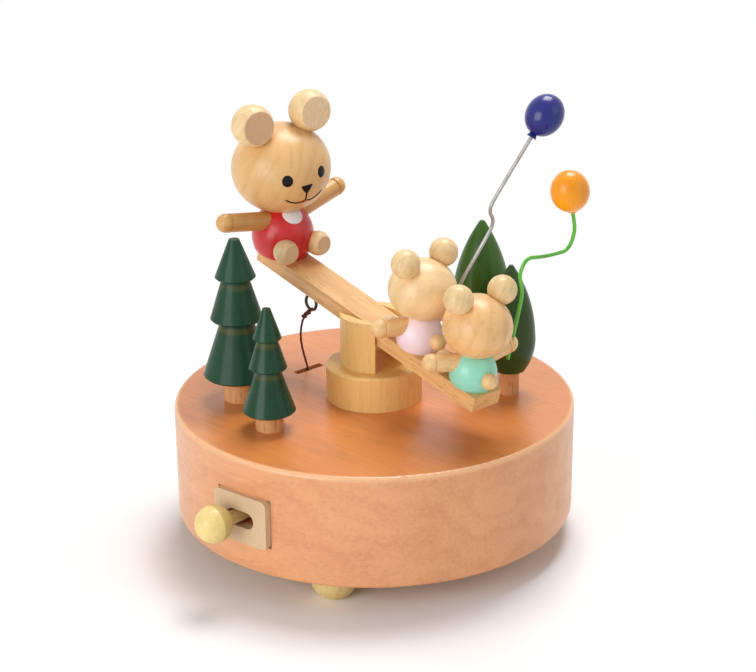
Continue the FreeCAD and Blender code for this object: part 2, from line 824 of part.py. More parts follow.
def make_bear():
    """The big bear sits upright on the high end and looks down the beam."""
    seat = size("beam_half_length") - size("bear_seat_inset")
    frame = seat_frame(seat, size("rest_tilt"), 180)
    tilt = turn(Z_AXIS, size("bear_head_turn")).multiply(turn(X_AXIS, size("bear_head_roll")))
    head_frame = frame.multiply(place(z=size("bear_head_height"), rotation=tilt))
    ball = ellipsoid("bear_head_ball", head_frame, "dims.bear_head_radius", "dims.bear_head_half_height")
    head = node(ball, "bear_head")
    egg, seated = seated_body("bear", frame, head, "bear")
    node(seated, "bear_body")
    sides = ((1, "left"), (-1, "right"))
    feet = []
    for side, word in sides:
        ear_place = place(size("bear_ear_front"), side * size("bear_ear_side"), size("bear_ear_up"))
        ear_frame = head_frame.multiply(ear_place)
        ear = flat_ball("bear_ear_" + word, ear_frame, "bear_ear_radius", "bear_ear_flat")
        node(cut("bear_ear_cut_" + word, ear, head), "bear_ear_" + word)
        raise_angle = size("bear_arm_raise_" + word)
        swing = turn(Z_AXIS, side * 90).multiply(turn(Y_AXIS, -raise_angle))
        arm_frame = frame.multiply(place(z=size("bear_arm_up"), rotation=swing))
        length = size("bear_arm_reach") / math.cos(math.radians(raise_angle))
        arm = limb("bear_arm_" + word, arm_frame, "bear_arm_radius", length)
        node(cut("bear_arm_cut_" + word, cut("bear_arm_clear_" + word, arm, egg), head), "bear_arm_" + word)
        foot_place = place(size("bear_foot_front"), side * size("bear_foot_side"), size("bear_foot_up"))
        foot_frame = frame.multiply(foot_place)
        foot = flat_ball("bear_foot_" + word, foot_frame, "bear_foot_radius", "bear_foot_flat")
        feet.append(cut("bear_foot_cut_" + word, foot, egg))
    node(group("bear_feet_pair", feet), "bear_feet")
    tail = sphere("bear_tail_ball", frame.multiply(place(-size("bear_tail_back"), 0, size("bear_tail_up"))),
                  "dims.bear_tail_radius")
    node(cut("bear_tail_cut", tail, egg), "bear_tail")


def make_cub(name, wire):
    """A cub that faces the bear and holds a balloon's wire in its right hand."""
    frame = seat_frame(size(name + "_seat"), size(name + "_lean"), size(name + "_turn"))
    label = name + "_cub"
    head_frame = frame.multiply(place(z=size("cub_head_height")))
    ball = ellipsoid(label + "_head_ball", head_frame, "dims.cub_head_radius", "dims.cub_head_half_height")
    head = node(ball, label + "_head")
    egg, seated = seated_body(label, frame, head, "cub")
    node(seated, label + "_body")
    ears = []
    arms = []
    feet = []
    for side, word in ((1, "left"), (-1, "right")):
        tag = label + "_%s_" + word
        ear_place = place(0, side * size("cub_ear_side"), size("cub_ear_up"))
        ear = flat_ball(tag % "ear", head_frame.multiply(ear_place), "cub_ear_radius", "cub_ear_flat")
        ears.append(cut(tag % "ear_cut", ear, head))
        forward = size("cub_arm_forward_left") if side > 0 else 0.0
        raise_angle = 0.0 if side > 0 else size("cub_arm_raise_right")
        swing = turn(Z_AXIS, side * (90 - forward)).multiply(turn(Y_AXIS, -raise_angle))
        arm_frame = frame.multiply(place(z=size("cub_arm_up"), rotation=swing))
        arm = limb(tag % "arm", arm_frame, "cub_arm_radius", size("cub_arm_reach"))
        arm = cut(tag % "arm_clear", cut(tag % "arm_under", arm, egg), head)
        arms.append(arm if side > 0 else cut(tag % "arm_bored", arm, wire))
        foot_place = place(size("cub_foot_front"), side * size("cub_foot_side"), size("cub_foot_up"))
        foot = flat_ball(tag % "foot", frame.multiply(foot_place), "cub_foot_radius", "cub_foot_flat")
        feet.append(cut(tag % "foot_cut", foot, egg))
    node(group(label + "_ear_pair", ears), label + "_ears")
    node(group(label + "_arm_pair", arms), label + "_arms")
    node(group(label + "_foot_pair", feet), label + "_feet")
    tail_place = place(-size("cub_tail_back"), 0, size("cub_tail_up"), turn(X_AXIS, TAIL_SEAM))
    tail = sphere(label + "_tail_ball", frame.multiply(tail_place), "dims.cub_tail_radius")
    node(cut(label + "_tail_cut", tail, egg), label + "_tail")


def balloon_wire(name, along, route):
    """A stiff wire bent in a plane across the beam; its route is across and above the beam's top."""
    top = size("beam_thickness") / 2
    points = [vector(along, across, top + height) for across, height in route]
    return node(shape(name, bent_tube(name, points, size("wire_radius")), beam_frame()), name)


def make_balloon(name, wire, along, route):
    """An egg-shaped balloon with a short neck, threaded on the wire's last run."""
    top = size("beam_thickness") / 2
    end = vector(along, route[-1][0], top + route[-1][1])
    before = vector(along, route[-2][0], top + route[-2][1])
    spin = FreeCAD.Rotation(Z_AXIS, end - before)
    frame = beam_frame().multiply(FreeCAD.Placement(end, spin))
    knot = cone(name + "_knot", frame.multiply(place(z=-size("balloon_knot_height"))), "dims.balloon_knot",
                "dims.balloon_neck", "dims.balloon_knot_height")
    middle = size("balloon_half_length") - size("balloon_neck") / 2
    egg = ellipsoid(name + "_egg", frame.multiply(place(z=middle)), "dims.balloon_radius",
                    "dims.balloon_half_length")
    node(cut(name + "_bored", fuse(name + "_whole", [knot, egg]), wire), name)


BLUE_ROUTE = ((-10.4, 3.0), (-10.7, 16.0), (-16.4, 26.4), (-20.5, 34.6), (-16.6, 39.2), (-20.8, 46.8),
              (-28.8, 60.2))
GREEN_ROUTE = ((-11.9, 4.6), (-11.9, 15.0), (-11.7, 26.0), (-8.4, 32.4), (-9.8, 37.0), (-18.2, 35.4),
               (-27.4, 35.0), (-28.2, 40.9), (-24.1, 49.4))
BLUE_ALONG = -18.9
GREEN_ALONG = -40.6


# Shares of a tree's height and width that give the turned outlines: a fir's tiers are bottom, top,
# wide and narrow; a round tree has its hem, waist and tip
FIR_LIP = 0.06
TALL_TIERS = ((0.0, 0.415, 1.0, 0.46), (0.415, 0.716, 0.75, 0.39), (0.716, 1.0, 0.58, 0.15))
SHORT_TIERS = ((0.0, 0.42, 1.0, 0.45), (0.42, 0.705, 0.72, 0.38), (0.705, 1.0, 0.54, 0.15))
HEM_SHARE = 0.62
WAIST_SHARE = 0.36
TIP_SHARE = 0.08
LOWER_BULGE = (0.93, 0.42)
UPPER_BULGE = (0.74, 0.69)


def make_fir(name, tiers):
    """A turned fir: three cones, each with a wide skirt, on a short trunk."""
    base = polar(inset(name), size(name + "_azimuth"), drum_top())
    trunk = cylinder(name + "_dowel", base, "dims.%s_trunk_radius" % name, "dims.%s_trunk_height" % name)
    node(trunk, name + "_trunk")
    skirt = size(name + "_skirt")
    low = size(name + "_trunk_height")
    span = size(name + "_height") - low
    lip = FIR_LIP * skirt
    section = [(0, 0)]
    for bottom, top, wide, narrow in tiers:
        section.append((skirt * wide - lip, span * bottom))
        section.append((skirt * wide, span * bottom + lip))
        section.append((skirt * narrow, span * top))
    section.append((0, span))
    node(shape(name + "_cones", lathe_lines(section), base.multiply(place(z=low))), name + "_foliage")


def make_round_tree(name):
    """A turned tree with a full belly and a pointed crown, on a short trunk."""
    base = polar(inset(name), size(name + "_azimuth"), drum_top())
    trunk = cylinder(name + "_dowel", base, "dims.%s_trunk_radius" % name, "dims.%s_trunk_height" % name)
    node(trunk, name + "_trunk")
    belly = size(name + "_belly")
    low = size(name + "_trunk_height")
    span = size(name + "_height") - low
    hem = vector(HEM_SHARE * belly)
    waist = vector(belly, 0, WAIST_SHARE * span)
    tip = vector(TIP_SHARE * belly, 0, span)
    low_bulge = vector(LOWER_BULGE[0] * belly, 0, LOWER_BULGE[1] * waist.z)
    high_bulge = vector(UPPER_BULGE[0] * belly, 0, UPPER_BULGE[1] * span)
    sole = Part.makeLine(vector(), hem)
    lower = Part.Arc(hem, low_bulge, waist).toShape()
    upper = Part.Arc(waist, high_bulge, tip).toShape()
    crown = Part.makeLine(tip, vector(z=span))
    axis = Part.makeLine(vector(z=span), vector())
    form = lathe([sole, lower, upper, crown, axis])
    node(shape(name + "_crown", form, base.multiply(place(z=low))), name + "_foliage")


# The cord's route in the upright plane of the beam: distance from the drum's axis, height above
# the drum's top. It hangs slack from the eye, drops through the slot and runs below the ceiling.
CORD_ROUTE = ((27.35, 18.05), (30.1, 16.6), (31.7, 12.6), (32.0, 8.4), (30.9, 4.6), (29.2, 0.8), (28.7, -2.4),
              (28.4, -5.4), (27.0, -8.0), (22.5, -8.9), (15.5, -8.0), (8.2, -7.5))


def make_cord():
    """The pull cord, with the bead-like knot below the eye."""
    top = drum_top()
    frame = place(z=top, rotation=turn(Z_AXIS, size("bear_azimuth")))
    points = [vector(across, 0, height) for across, height in CORD_ROUTE]
    tube = bent_tube("pull_cord", points, size("cord_radius"))
    knot = Part.makeSphere(size("knot_radius"), points[1])
    node(shape("cord", tube.fuse(knot), frame), "pull_cord")


def make_bedplate():
    """The movement's cast bed with its two bearing posts and the comb's block."""
    frame = movement_frame()
    slab_place = place(size("bed_along"), size("bed_aside"), -size("bed_thickness"))
    slab = box("bed_slab", frame.multiply(slab_place), "dims.bed_length", "dims.bed_width",
               "dims.bed_thickness")
    room = cylinder("bed_room", place(z=board_top()), "dims.drum_radius - dims.wall - dims.bed_wall_gap",
                    "dims.bed_thickness")
    inside = DOC.addObject("Part::Common", "bed_inside")
    inside.Base = slab
    inside.Tool = room
    relief = cylinder("bed_relief", polar(inset("lever"), size("lever_azimuth"), board_top()),
                      "dims.lever_collar + dims.bed_post_gap", "2 * dims.bed_thickness")
    axis = size("cylinder_axis_height")
    posts = [cut("bed_relieved", inside, relief)]
    for name in ("post_near", "post_far"):
        posts.append(box("bed_" + name, frame.multiply(place(size(name))), "dims.post_thickness",
                         "dims.post_width", "dims.cylinder_axis_height + dims.post_cap"))
    comb_back = size("cylinder_radius") + size("comb_gap") + size("comb_length")
    comb_middle = (size("cylinder_start") + size("cylinder_end")) / 2
    block_place = frame.multiply(place(comb_middle, comb_back - size("comb_block_width") / 2))
    posts.append(box("comb_block", block_place, "dims.comb_block_length", "dims.comb_block_width",
                     "dims.cylinder_axis_height - dims.comb_thickness / 2"))
    along = turn(Y_AXIS, 90)
    before = size("post_near") - size("post_thickness")
    arbor_bore = cylinder("bed_arbor_bore", frame.multiply(place(before, 0, axis, along)),
                          "dims.cylinder_arbor + dims.running_clearance",
                          "dims.post_far - dims.post_near + 2 * dims.post_thickness")
    key_bore = cylinder("bed_key_bore", frame.multiply(place(z=-2 * size("bed_thickness"))),
                        "dims.arbor_radius + dims.running_clearance", "4 * dims.bed_thickness")
    node(cut("bed", fuse("bed_whole", posts), fuse("bed_bores", [arbor_bore, key_bore])), "bedplate")


def make_spring_drive():
    """Winding key and arbor, the spring barrel with its crown of pins, and the crank on top."""
    frame = movement_frame()
    lift = size("barrel_lift")
    barrel_top = lift + size("barrel_height")
    base = frame.multiply(place(z=lift))
    cup = cylinder("barrel_cup", base, "dims.barrel_radius", "dims.barrel_height")
    room = cylinder("barrel_room", base, "dims.barrel_radius - dims.barrel_wall",
                    "dims.barrel_height - dims.barrel_wall")
    disc_top = cavity_top() - frame.Base.z - size("crank_drop") + size("crank_disc_thickness")
    hub = solid("Cylinder", "barrel_hub", frame.multiply(place(z=barrel_top)), Radius="dims.hub_radius")
    hub.Height = disc_top - barrel_top
    pins = []
    for index in range(CROWN_PINS):
        angle = 360.0 * (index + 0.5) / CROWN_PINS
        spoke = frame.multiply(place(rotation=turn(Z_AXIS, angle)))
        spot = spoke.multiply(place(size("crown_circle"), 0, barrel_top))
        pins.append(cylinder("crown_pin_%d" % index, spot, "dims.crown_pin_radius", "dims.crown_pin_height"))
    hollow = cut("barrel_hollow", cup, room)
    bore = cylinder("barrel_bore", base, "dims.arbor_radius + dims.running_clearance",
                    "dims.barrel_height + dims.arbor_overrun + dims.arbor_end_gap")
    node(cut("barrel", fuse("barrel_whole", [hollow, hub] + pins), bore), "spring_barrel")
    key_top = size("foot_height") - size("key_board_gap")
    arbor_top = frame.Base.z + barrel_top + size("arbor_overrun")
    arbor_foot = key_top - size("key_socket")
    arbor = solid("Cylinder", "arbor_rod", place(z=arbor_foot), Radius="dims.arbor_radius")
    arbor.Height = arbor_top - arbor_foot
    node(arbor, "spring_arbor")
    make_key(key_top, arbor)
    make_mainspring(base)
    crank_place = frame.multiply(place(z=disc_top - size("crank_disc_thickness")))
    disc = cylinder("crank_plate", crank_place, "dims.crank_disc_radius", "dims.crank_disc_thickness")
    pin_azimuth = size("bear_azimuth")
    pin_place = polar(size("crank_radius"), pin_azimuth, crank_place.Base.z)
    pin = cylinder("crank_peg", pin_place, "dims.crank_pin_radius",
                   "dims.crank_disc_thickness + dims.crank_pin_height")
    eye = cylinder("crank_eye", crank_place, "dims.hub_radius", "dims.crank_disc_thickness")
    node(cut("crank", fuse("crank_whole", [disc, pin]), eye), "crank_disc")


def make_key(top, arbor):
    """A flat butterfly key with two round wings, screwed on the arbor's lower end."""
    floor = size("key_floor_gap")
    tall = "dims.foot_height - dims.key_board_gap - dims.key_floor_gap"
    wing = (top - floor) / 2
    hub = cylinder("key_hub_rod", place(z=floor), "dims.key_hub", tall)
    blade = box("key_blade", place(z=floor), "2 * (dims.key_radius - %r)" % wing, "dims.key_thickness", tall)
    ends = []
    for side in (-1, 1):
        spot = place(side * (size("key_radius") - wing), size("key_thickness") / 2, floor + wing,
                     turn(X_AXIS, 90))
        ends.append(cylinder("key_wing_%d" % (side + 1), spot, "%r" % wing, "dims.key_thickness"))
    node(cut("key", fuse("key_whole", [hub, blade] + ends), arbor), "winding_key")


def make_mainspring(base):
    """A flat spring that winds outwards from the arbor inside the barrel, in half turns."""
    leaf = size("spring_leaf")
    inner = size("arbor_radius") + size("spring_inner_gap")
    outer = size("barrel_radius") - size("barrel_wall") - size("spring_outer_gap")
    step = (outer - inner - leaf) / (2 * SPRING_TURNS)

    def winding(start):
        edges = []
        for index in range(2 * SPRING_TURNS):
            near = start + index * step
            far = near + step
            side = 1 if index % 2 == 0 else -1
            middle = side * (near - far) / 2
            reach = (near + far) / 2
            arc = Part.Arc(vector(side * near), vector(middle, side * reach), vector(-side * far))
            edges.append(arc.toShape())
        return edges

    inside = winding(inner)
    outside = winding(inner + leaf)
    caps = [Part.LineSegment(vector(inner), vector(inner + leaf)).toShape()]
    last = inner + 2 * SPRING_TURNS * step
    caps.append(Part.LineSegment(vector(last), vector(last + leaf)).toShape())
    outline = Part.Wire(Part.__sortEdges__(inside + outside + caps))
    floor_gap = size("spring_floor_gap")
    room = size("barrel_height") - size("barrel_wall") - floor_gap - size("spring_roof_gap")
    coil = Part.Face(outline).extrude(vector(z=room))
    node(shape("spring_coil", coil, base.multiply(place(z=floor_gap))), "mainspring")


def make_cylinder():
    """The pinned cylinder on its arbor, with the crown pinion and the train's first gear."""
    axis = size("cylinder_axis_height")
    frame = movement_frame().multiply(place(z=axis, rotation=turn(Y_AXIS, 90)))
    start = size("cylinder_start")
    end = size("cylinder_end")
    radius = size("cylinder_radius")
    arbor_start = size("cylinder_arbor_start")
    forms = [Part.makeCylinder(radius, end - start, vector(z=start))]
    forms.append(Part.makeCylinder(size("cylinder_arbor"), size("cylinder_arbor_end") - arbor_start,
                                   vector(z=arbor_start)))
    pinion = gear(PINION_LEAVES, "pinion", PINION_SHARES, size("pinion_length"))
    pinion.translate(vector(z=size("pinion_start")))
    forms.append(pinion)
    wheel = gear(GEAR_TEETH, "gear", GEAR_SHARES, size("gear_thickness"))
    wheel.translate(vector(z=size("gear_start")))
    forms.append(wheel)
    forms.append(Part.makeCylinder(size("cylinder_collar"), size("gear_start") - end, vector(z=end)))
    pitch = (end - start) / (COMB_TEETH + 1)
    for row in range(COMB_TEETH):
        for beat in range(NOTE_PINS):
            angle = (row * NOTE_TURN + beat * BEAT_TURN) % 360
            pin = Part.makeCylinder(size("music_pin_radius"), radius + size("music_pin_height"), vector(),
                                    X_AXIS)
            pin.rotate(vector(), Z_AXIS, angle)
            pin.translate(vector(z=start + pitch * (row + 1)))
            forms.append(pin)
    whole = forms[0].multiFuse(forms[1:])
    node(shape("cylinder", whole.removeSplitter(), frame), "pinned_cylinder")


def make_comb():
    """The steel comb: one plate with slits between its teeth, longest at the bass end."""
    frame = movement_frame()
    start = size("cylinder_start")
    end = size("cylinder_end")
    inner = size("cylinder_radius") + size("comb_gap")
    pitch = (end - start) / (COMB_TEETH + 1)
    low = size("cylinder_axis_height") - size("comb_thickness") / 2
    plate = Part.makeBox(end - start, size("comb_length"), size("comb_thickness"), vector(start, inner, low))
    slits = []
    for index in range(COMB_TEETH - 1):
        spot = start + pitch * (index + 1.5) - size("comb_slit") / 2
        depth = size("comb_slit_bass") - size("comb_slit_step") * index
        slits.append(Part.makeBox(size("comb_slit"), 2 * depth, 3 * size("comb_thickness"),
                                  vector(spot, inner - depth, low - size("comb_thickness"))))
    node(shape("comb_plate", plate.cut(slits), frame), "comb")


def make_governor():
    """The air-brake governor: its frame, the worm wheel's arbor and the fan on its worm."""
    frame = movement_frame()
    drop = size("train_distance") * math.sqrt(0.5)
    wheel_y = -drop
    wheel_z = size("cylinder_axis_height") - drop
    worm_x = size("worm_along")
    worm_y = wheel_y - size("worm_distance")
    arbor = size("governor_arbor")
    bore = arbor + size("running_clearance")
    make_governor_frame(frame, bore, vector(worm_x, worm_y), vector(0, wheel_y, wheel_z))
    pinion = gear(GOVERNOR_PINION_TEETH, "governor_pinion", GOVERNOR_PINION_SHARES, size("gear_thickness"))
    pinion.rotate(vector(), Z_AXIS, 180.0 / GOVERNOR_PINION_TEETH)
    pinion.translate(vector(z=size("gear_start")))
    leaves = gear(WORM_WHEEL_LEAVES, "worm_wheel", WORM_WHEEL_SHARES, size("worm_wheel_thickness"))
    leaves.translate(vector(z=worm_x - size("worm_wheel_thickness") / 2))
    rod_start = size("governor_arbor_start")
    rod = Part.makeCylinder(arbor, size("governor_arbor_end") - rod_start, vector(z=rod_start))
    wheel_frame = frame.multiply(place(0, wheel_y, wheel_z, turn(Y_AXIS, 90)))
    node(shape("wheel", rod.multiFuse([pinion, leaves]).removeSplitter(), wheel_frame), "governor_wheel")
    in_mesh = turn(Z_AXIS, 90)
    make_fan(frame.multiply(place(worm_x, worm_y, 0, in_mesh)), wheel_z)


def make_governor_frame(frame, bore, worm, wheel):
    """A foot with two cheeks for the wheel's arbor, and a column with an arm for the fan's spindle."""
    start = size("governor_start")
    length = size("governor_end") - start
    back = -size("governor_back")
    side = -size("governor_side")
    foot = size("governor_foot")
    cheek = size("governor_cheek")
    cheek_top = wheel.z + size("governor_cheek_rise")
    inner = size("governor_cheek_inner")
    outer = size("governor_cheek_outer")
    column = size("governor_column")
    tall = size("governor_height")
    column_start = worm.x - column / 2
    forms = [Part.makeBox(length, side - back, foot, vector(start, back, 0))]
    forms.append(Part.makeBox(outer, cheek, cheek_top, vector(start + length - outer, side - cheek, 0)))
    forms.append(Part.makeBox(inner, cheek, cheek_top, vector(start, side - cheek, 0)))
    forms.append(Part.makeBox(column, column, tall, vector(column_start, back, 0)))
    forms.append(Part.makeBox(column, size("governor_arm"), foot, vector(column_start, back, tall - foot)))
    whole = forms[0].multiFuse(forms[1:]).removeSplitter()
    spindle_bore = Part.makeCylinder(bore, tall, vector(worm.x, worm.y, size("spindle_seat")))
    arbor_bore = Part.makeCylinder(bore, 2 * length, vector(start - length / 2, wheel.y, wheel.z), X_AXIS)
    node(shape("governor_casting", whole.cut([spindle_bore, arbor_bore]), frame), "governor_frame")


def make_fan(frame, mesh_height):
    """The fan's spindle with a two-start worm below and two air vanes above."""
    core = size("worm_core")
    tip = size("worm_tip")
    length = size("worm_length")
    shoulder = size("worm_shoulder")
    lead = WORM_STARTS * 2 * math.pi * size("worm_wheel_pitch") / WORM_WHEEL_LEAVES
    low = mesh_height - length / 2
    foot = vector(z=size("spindle_foot"))
    forms = [Part.makeCylinder(size("governor_arbor"), size("spindle_length"), foot)]
    forms.append(Part.makeCylinder(core, length + 2 * shoulder, vector(z=low - shoulder)))
    root = size("thread_root") / 2
    crest = size("thread_crest") / 2
    inside = core - size("thread_bite")
    for start in range(WORM_STARTS):
        helix = Part.makeHelix(lead, length, core)
        corners = [vector(inside, 0, -root), vector(tip, 0, -crest), vector(tip, 0, crest),
                   vector(inside, 0, root)]
        section = Part.makePolygon(corners + corners[:1])
        thread = Part.Wire(helix.Edges).makePipeShell([section], True, True)
        thread.rotate(vector(), Z_AXIS, 360.0 * start / WORM_STARTS)
        thread.translate(vector(z=low))
        forms.append(thread)
    vane_low = mesh_height + size("vane_lift")
    span = size("vane_span")
    thick = size("vane_thickness")
    tall = size("vane_height")
    forms.append(Part.makeBox(span, thick, tall, vector(-span / 2, -thick / 2, vane_low)))
    forms.append(Part.makeCylinder(size("vane_hub"), tall, vector(z=vane_low)))
    node(shape("fan", forms[0].multiFuse(forms[1:]).removeSplitter(), frame), "governor_fan")


def check_document():
    """Stops before anything is written if an object failed or a shape is unsound."""
    DOC.recompute()
    for item in DOC.Objects:
        if "Invalid" in item.State or "Error" in item.State:
            raise RuntimeError("%s failed to build" % item.Label)
    for item in NODES:
        form = item.Shape
        if form.isNull() or not form.isValid() or form.Volume <= 0:
            raise RuntimeError("%s has no sound solid" % item.Label)


def write_parts():
    os.makedirs("parts", exist_ok=True)
    for item in NODES:
        item.Shape.exportStep("parts/%s.step" % item.Label)


def main():
    fill_sheet()
    screws = make_screws()
    make_drum(screws)
    make_bottom(screws)
    make_stop_lever()
    make_stand()
    make_beam()
    make_bear()
    blue = balloon_wire("blue_wire", BLUE_ALONG, BLUE_ROUTE)
    green = balloon_wire("green_wire", GREEN_ALONG, GREEN_ROUTE)
    make_balloon("blue_balloon", blue, BLUE_ALONG, BLUE_ROUTE)
    make_balloon("orange_balloon", green, GREEN_ALONG, GREEN_ROUTE)
    make_cub("pink", blue)
    make_cub("mint", green)
    make_fir("fir_tall", TALL_TIERS)
    make_fir("fir_short", SHORT_TIERS)
    make_round_tree("round_front")
    make_round_tree("round_back")
    make_bedplate()
    make_spring_drive()
    make_cylinder()
    make_comb()
    make_governor()
    make_cord()
    check_document()
    write_parts()


main()
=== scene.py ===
"""Dresses the wooden music box: its woods, paints, faces, pull cord and studio.

Lengths are in metres in the model's own frame, +Z up, unless a name ends in _mm.
"""

import logging
import math
from dataclasses import dataclass
from enum import Enum
from typing import Any, Optional, Union

import bpy
import numpy as np
from mathutils import Euler, Matrix, Vector

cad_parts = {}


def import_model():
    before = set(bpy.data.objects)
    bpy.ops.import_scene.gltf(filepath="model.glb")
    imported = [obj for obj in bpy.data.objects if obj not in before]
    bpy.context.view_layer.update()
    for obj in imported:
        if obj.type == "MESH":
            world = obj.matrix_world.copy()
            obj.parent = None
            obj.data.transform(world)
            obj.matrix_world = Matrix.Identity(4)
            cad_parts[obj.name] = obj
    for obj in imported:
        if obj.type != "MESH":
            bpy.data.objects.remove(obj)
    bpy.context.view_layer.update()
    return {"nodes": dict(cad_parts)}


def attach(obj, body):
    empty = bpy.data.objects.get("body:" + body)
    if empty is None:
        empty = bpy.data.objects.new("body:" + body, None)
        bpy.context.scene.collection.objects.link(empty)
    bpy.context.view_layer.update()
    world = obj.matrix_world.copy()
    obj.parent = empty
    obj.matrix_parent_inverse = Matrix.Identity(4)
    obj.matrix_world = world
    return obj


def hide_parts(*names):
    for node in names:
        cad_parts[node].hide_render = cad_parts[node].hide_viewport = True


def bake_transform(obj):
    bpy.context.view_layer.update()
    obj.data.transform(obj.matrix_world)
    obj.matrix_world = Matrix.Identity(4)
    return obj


LOG = logging.getLogger("music_box")
MM = 0.001
FULL_TURN = 2.0 * math.pi
ALONG_X = Vector((1.0, 0.0, 0.0))
Colour = tuple[float, float, float, float]
Pair = tuple[float, float]
Triple = tuple[float, float, float]
Array = np.ndarray
Material = bpy.types.Material
Piece = bpy.types.Object
Nodes = dict[str, Piece]
Number = Union[float, "Value"]
WHITE: Colour = (1.0, 1.0, 1.0, 1.0)
# The sockets of a Mix node that mixes colours.
MIX_SHARE, MIX_FIRST, MIX_SECOND, MIX_COLOUR = 0, 6, 7, 2


def srgb(red: int, green: int, blue: int) -> Colour:
    """The linear colour that shaders use, with an alpha of 1, for a screen colour from 0 to 255."""
    shares = np.array([red, green, blue]) / 255.0
    return (*np.where(shares <= 0.04045, shares / 12.92, ((shares + 0.055) / 1.055) ** 2.4).tolist(), 1.0)


def scaled(colour: Colour, share: float) -> Colour:
    """A colour times a share, with an alpha of 1."""
    return (colour[0] * share, colour[1] * share, colour[2] * share, 1.0)


@dataclass(frozen=True)
class Noise:
    """Smooth noise: its stretch along X and across it, its waves in one unit and its finer layers."""

    along: float = 1.0
    across: float = 1.0
    waves: float = 1.0
    detail: float = 3.0
    rough: float = 0.55


def read(items: bpy.types.bpy_prop_collection, name: str, width: int) -> Array:
    """Reads one property of all items.

    Args:
        items: a mesh's polygons or vertices.
        name: the property's name.
        width: how many numbers it has.

    Returns:
        The numbers, items by width.
    """
    values = np.empty(width * len(items))
    items.foreach_get(name, values)
    return values.reshape(-1, width)


def unit(vectors: Array) -> Array:
    """Vectors, any shape by 3, brought to a length of 1."""
    return vectors / np.linalg.norm(vectors, axis=-1, keepdims=True)


def add_object(name: str, data: bpy.types.ID) -> Piece:
    """Adds an object to the scene.

    Args:
        name: its name.
        data: its mesh, curve, camera or light.

    Returns:
        The object.
    """
    made = bpy.data.objects.new(name, data)
    bpy.context.scene.collection.objects.link(made)
    return made


def turns(count: int) -> Array:
    """Evenly spaced angles that go once round."""
    return np.linspace(0.0, FULL_TURN, count, endpoint=False)


class Value:
    """One output of a node, so that shader maths reads as Python."""

    def __init__(self, graph: "Graph", socket: bpy.types.NodeSocket) -> None:
        """Keeps the socket and the graph that it belongs to."""
        self.graph = graph
        self.socket = socket

    def combine(self, operation: str, first: Number, second: Number = 0.0) -> "Value":
        """The output of one more Math node with these inputs."""
        return self.graph.node("ShaderNodeMath", {"operation": operation}, {0: first, 1: second})

    def __add__(self, other: Number) -> "Value":
        """self + other."""
        return self.combine("ADD", self, other)

    def __radd__(self, other: Number) -> "Value":
        """other + self."""
        return self.combine("ADD", other, self)

    def __sub__(self, other: Number) -> "Value":
        """self - other."""
        return self.combine("SUBTRACT", self, other)

    def __mul__(self, other: Number) -> "Value":
        """self * other."""
        return self.combine("MULTIPLY", self, other)

    def __truediv__(self, other: Number) -> "Value":
        """self / other."""
        return self.combine("DIVIDE", self, other)

    def root(self) -> "Value":
        """The square root of self."""
        return self.combine("SQRT", self)

    def step(self, low: float, high: float) -> "Value":
        """Rises smoothly from 0 at low to 1 at high, and falls if low is above high."""
        inputs = {"Value": self, "From Min": low, "From Max": high}
        return self.graph.node("ShaderNodeMapRange", {"interpolation_type": "SMOOTHSTEP"}, inputs)

    def reach(self, level: float, below: Pair) -> "Value":
        """Rises smoothly from 0 to 1 between two distances below a level."""
        return self.step(level - below[0], level - below[1])


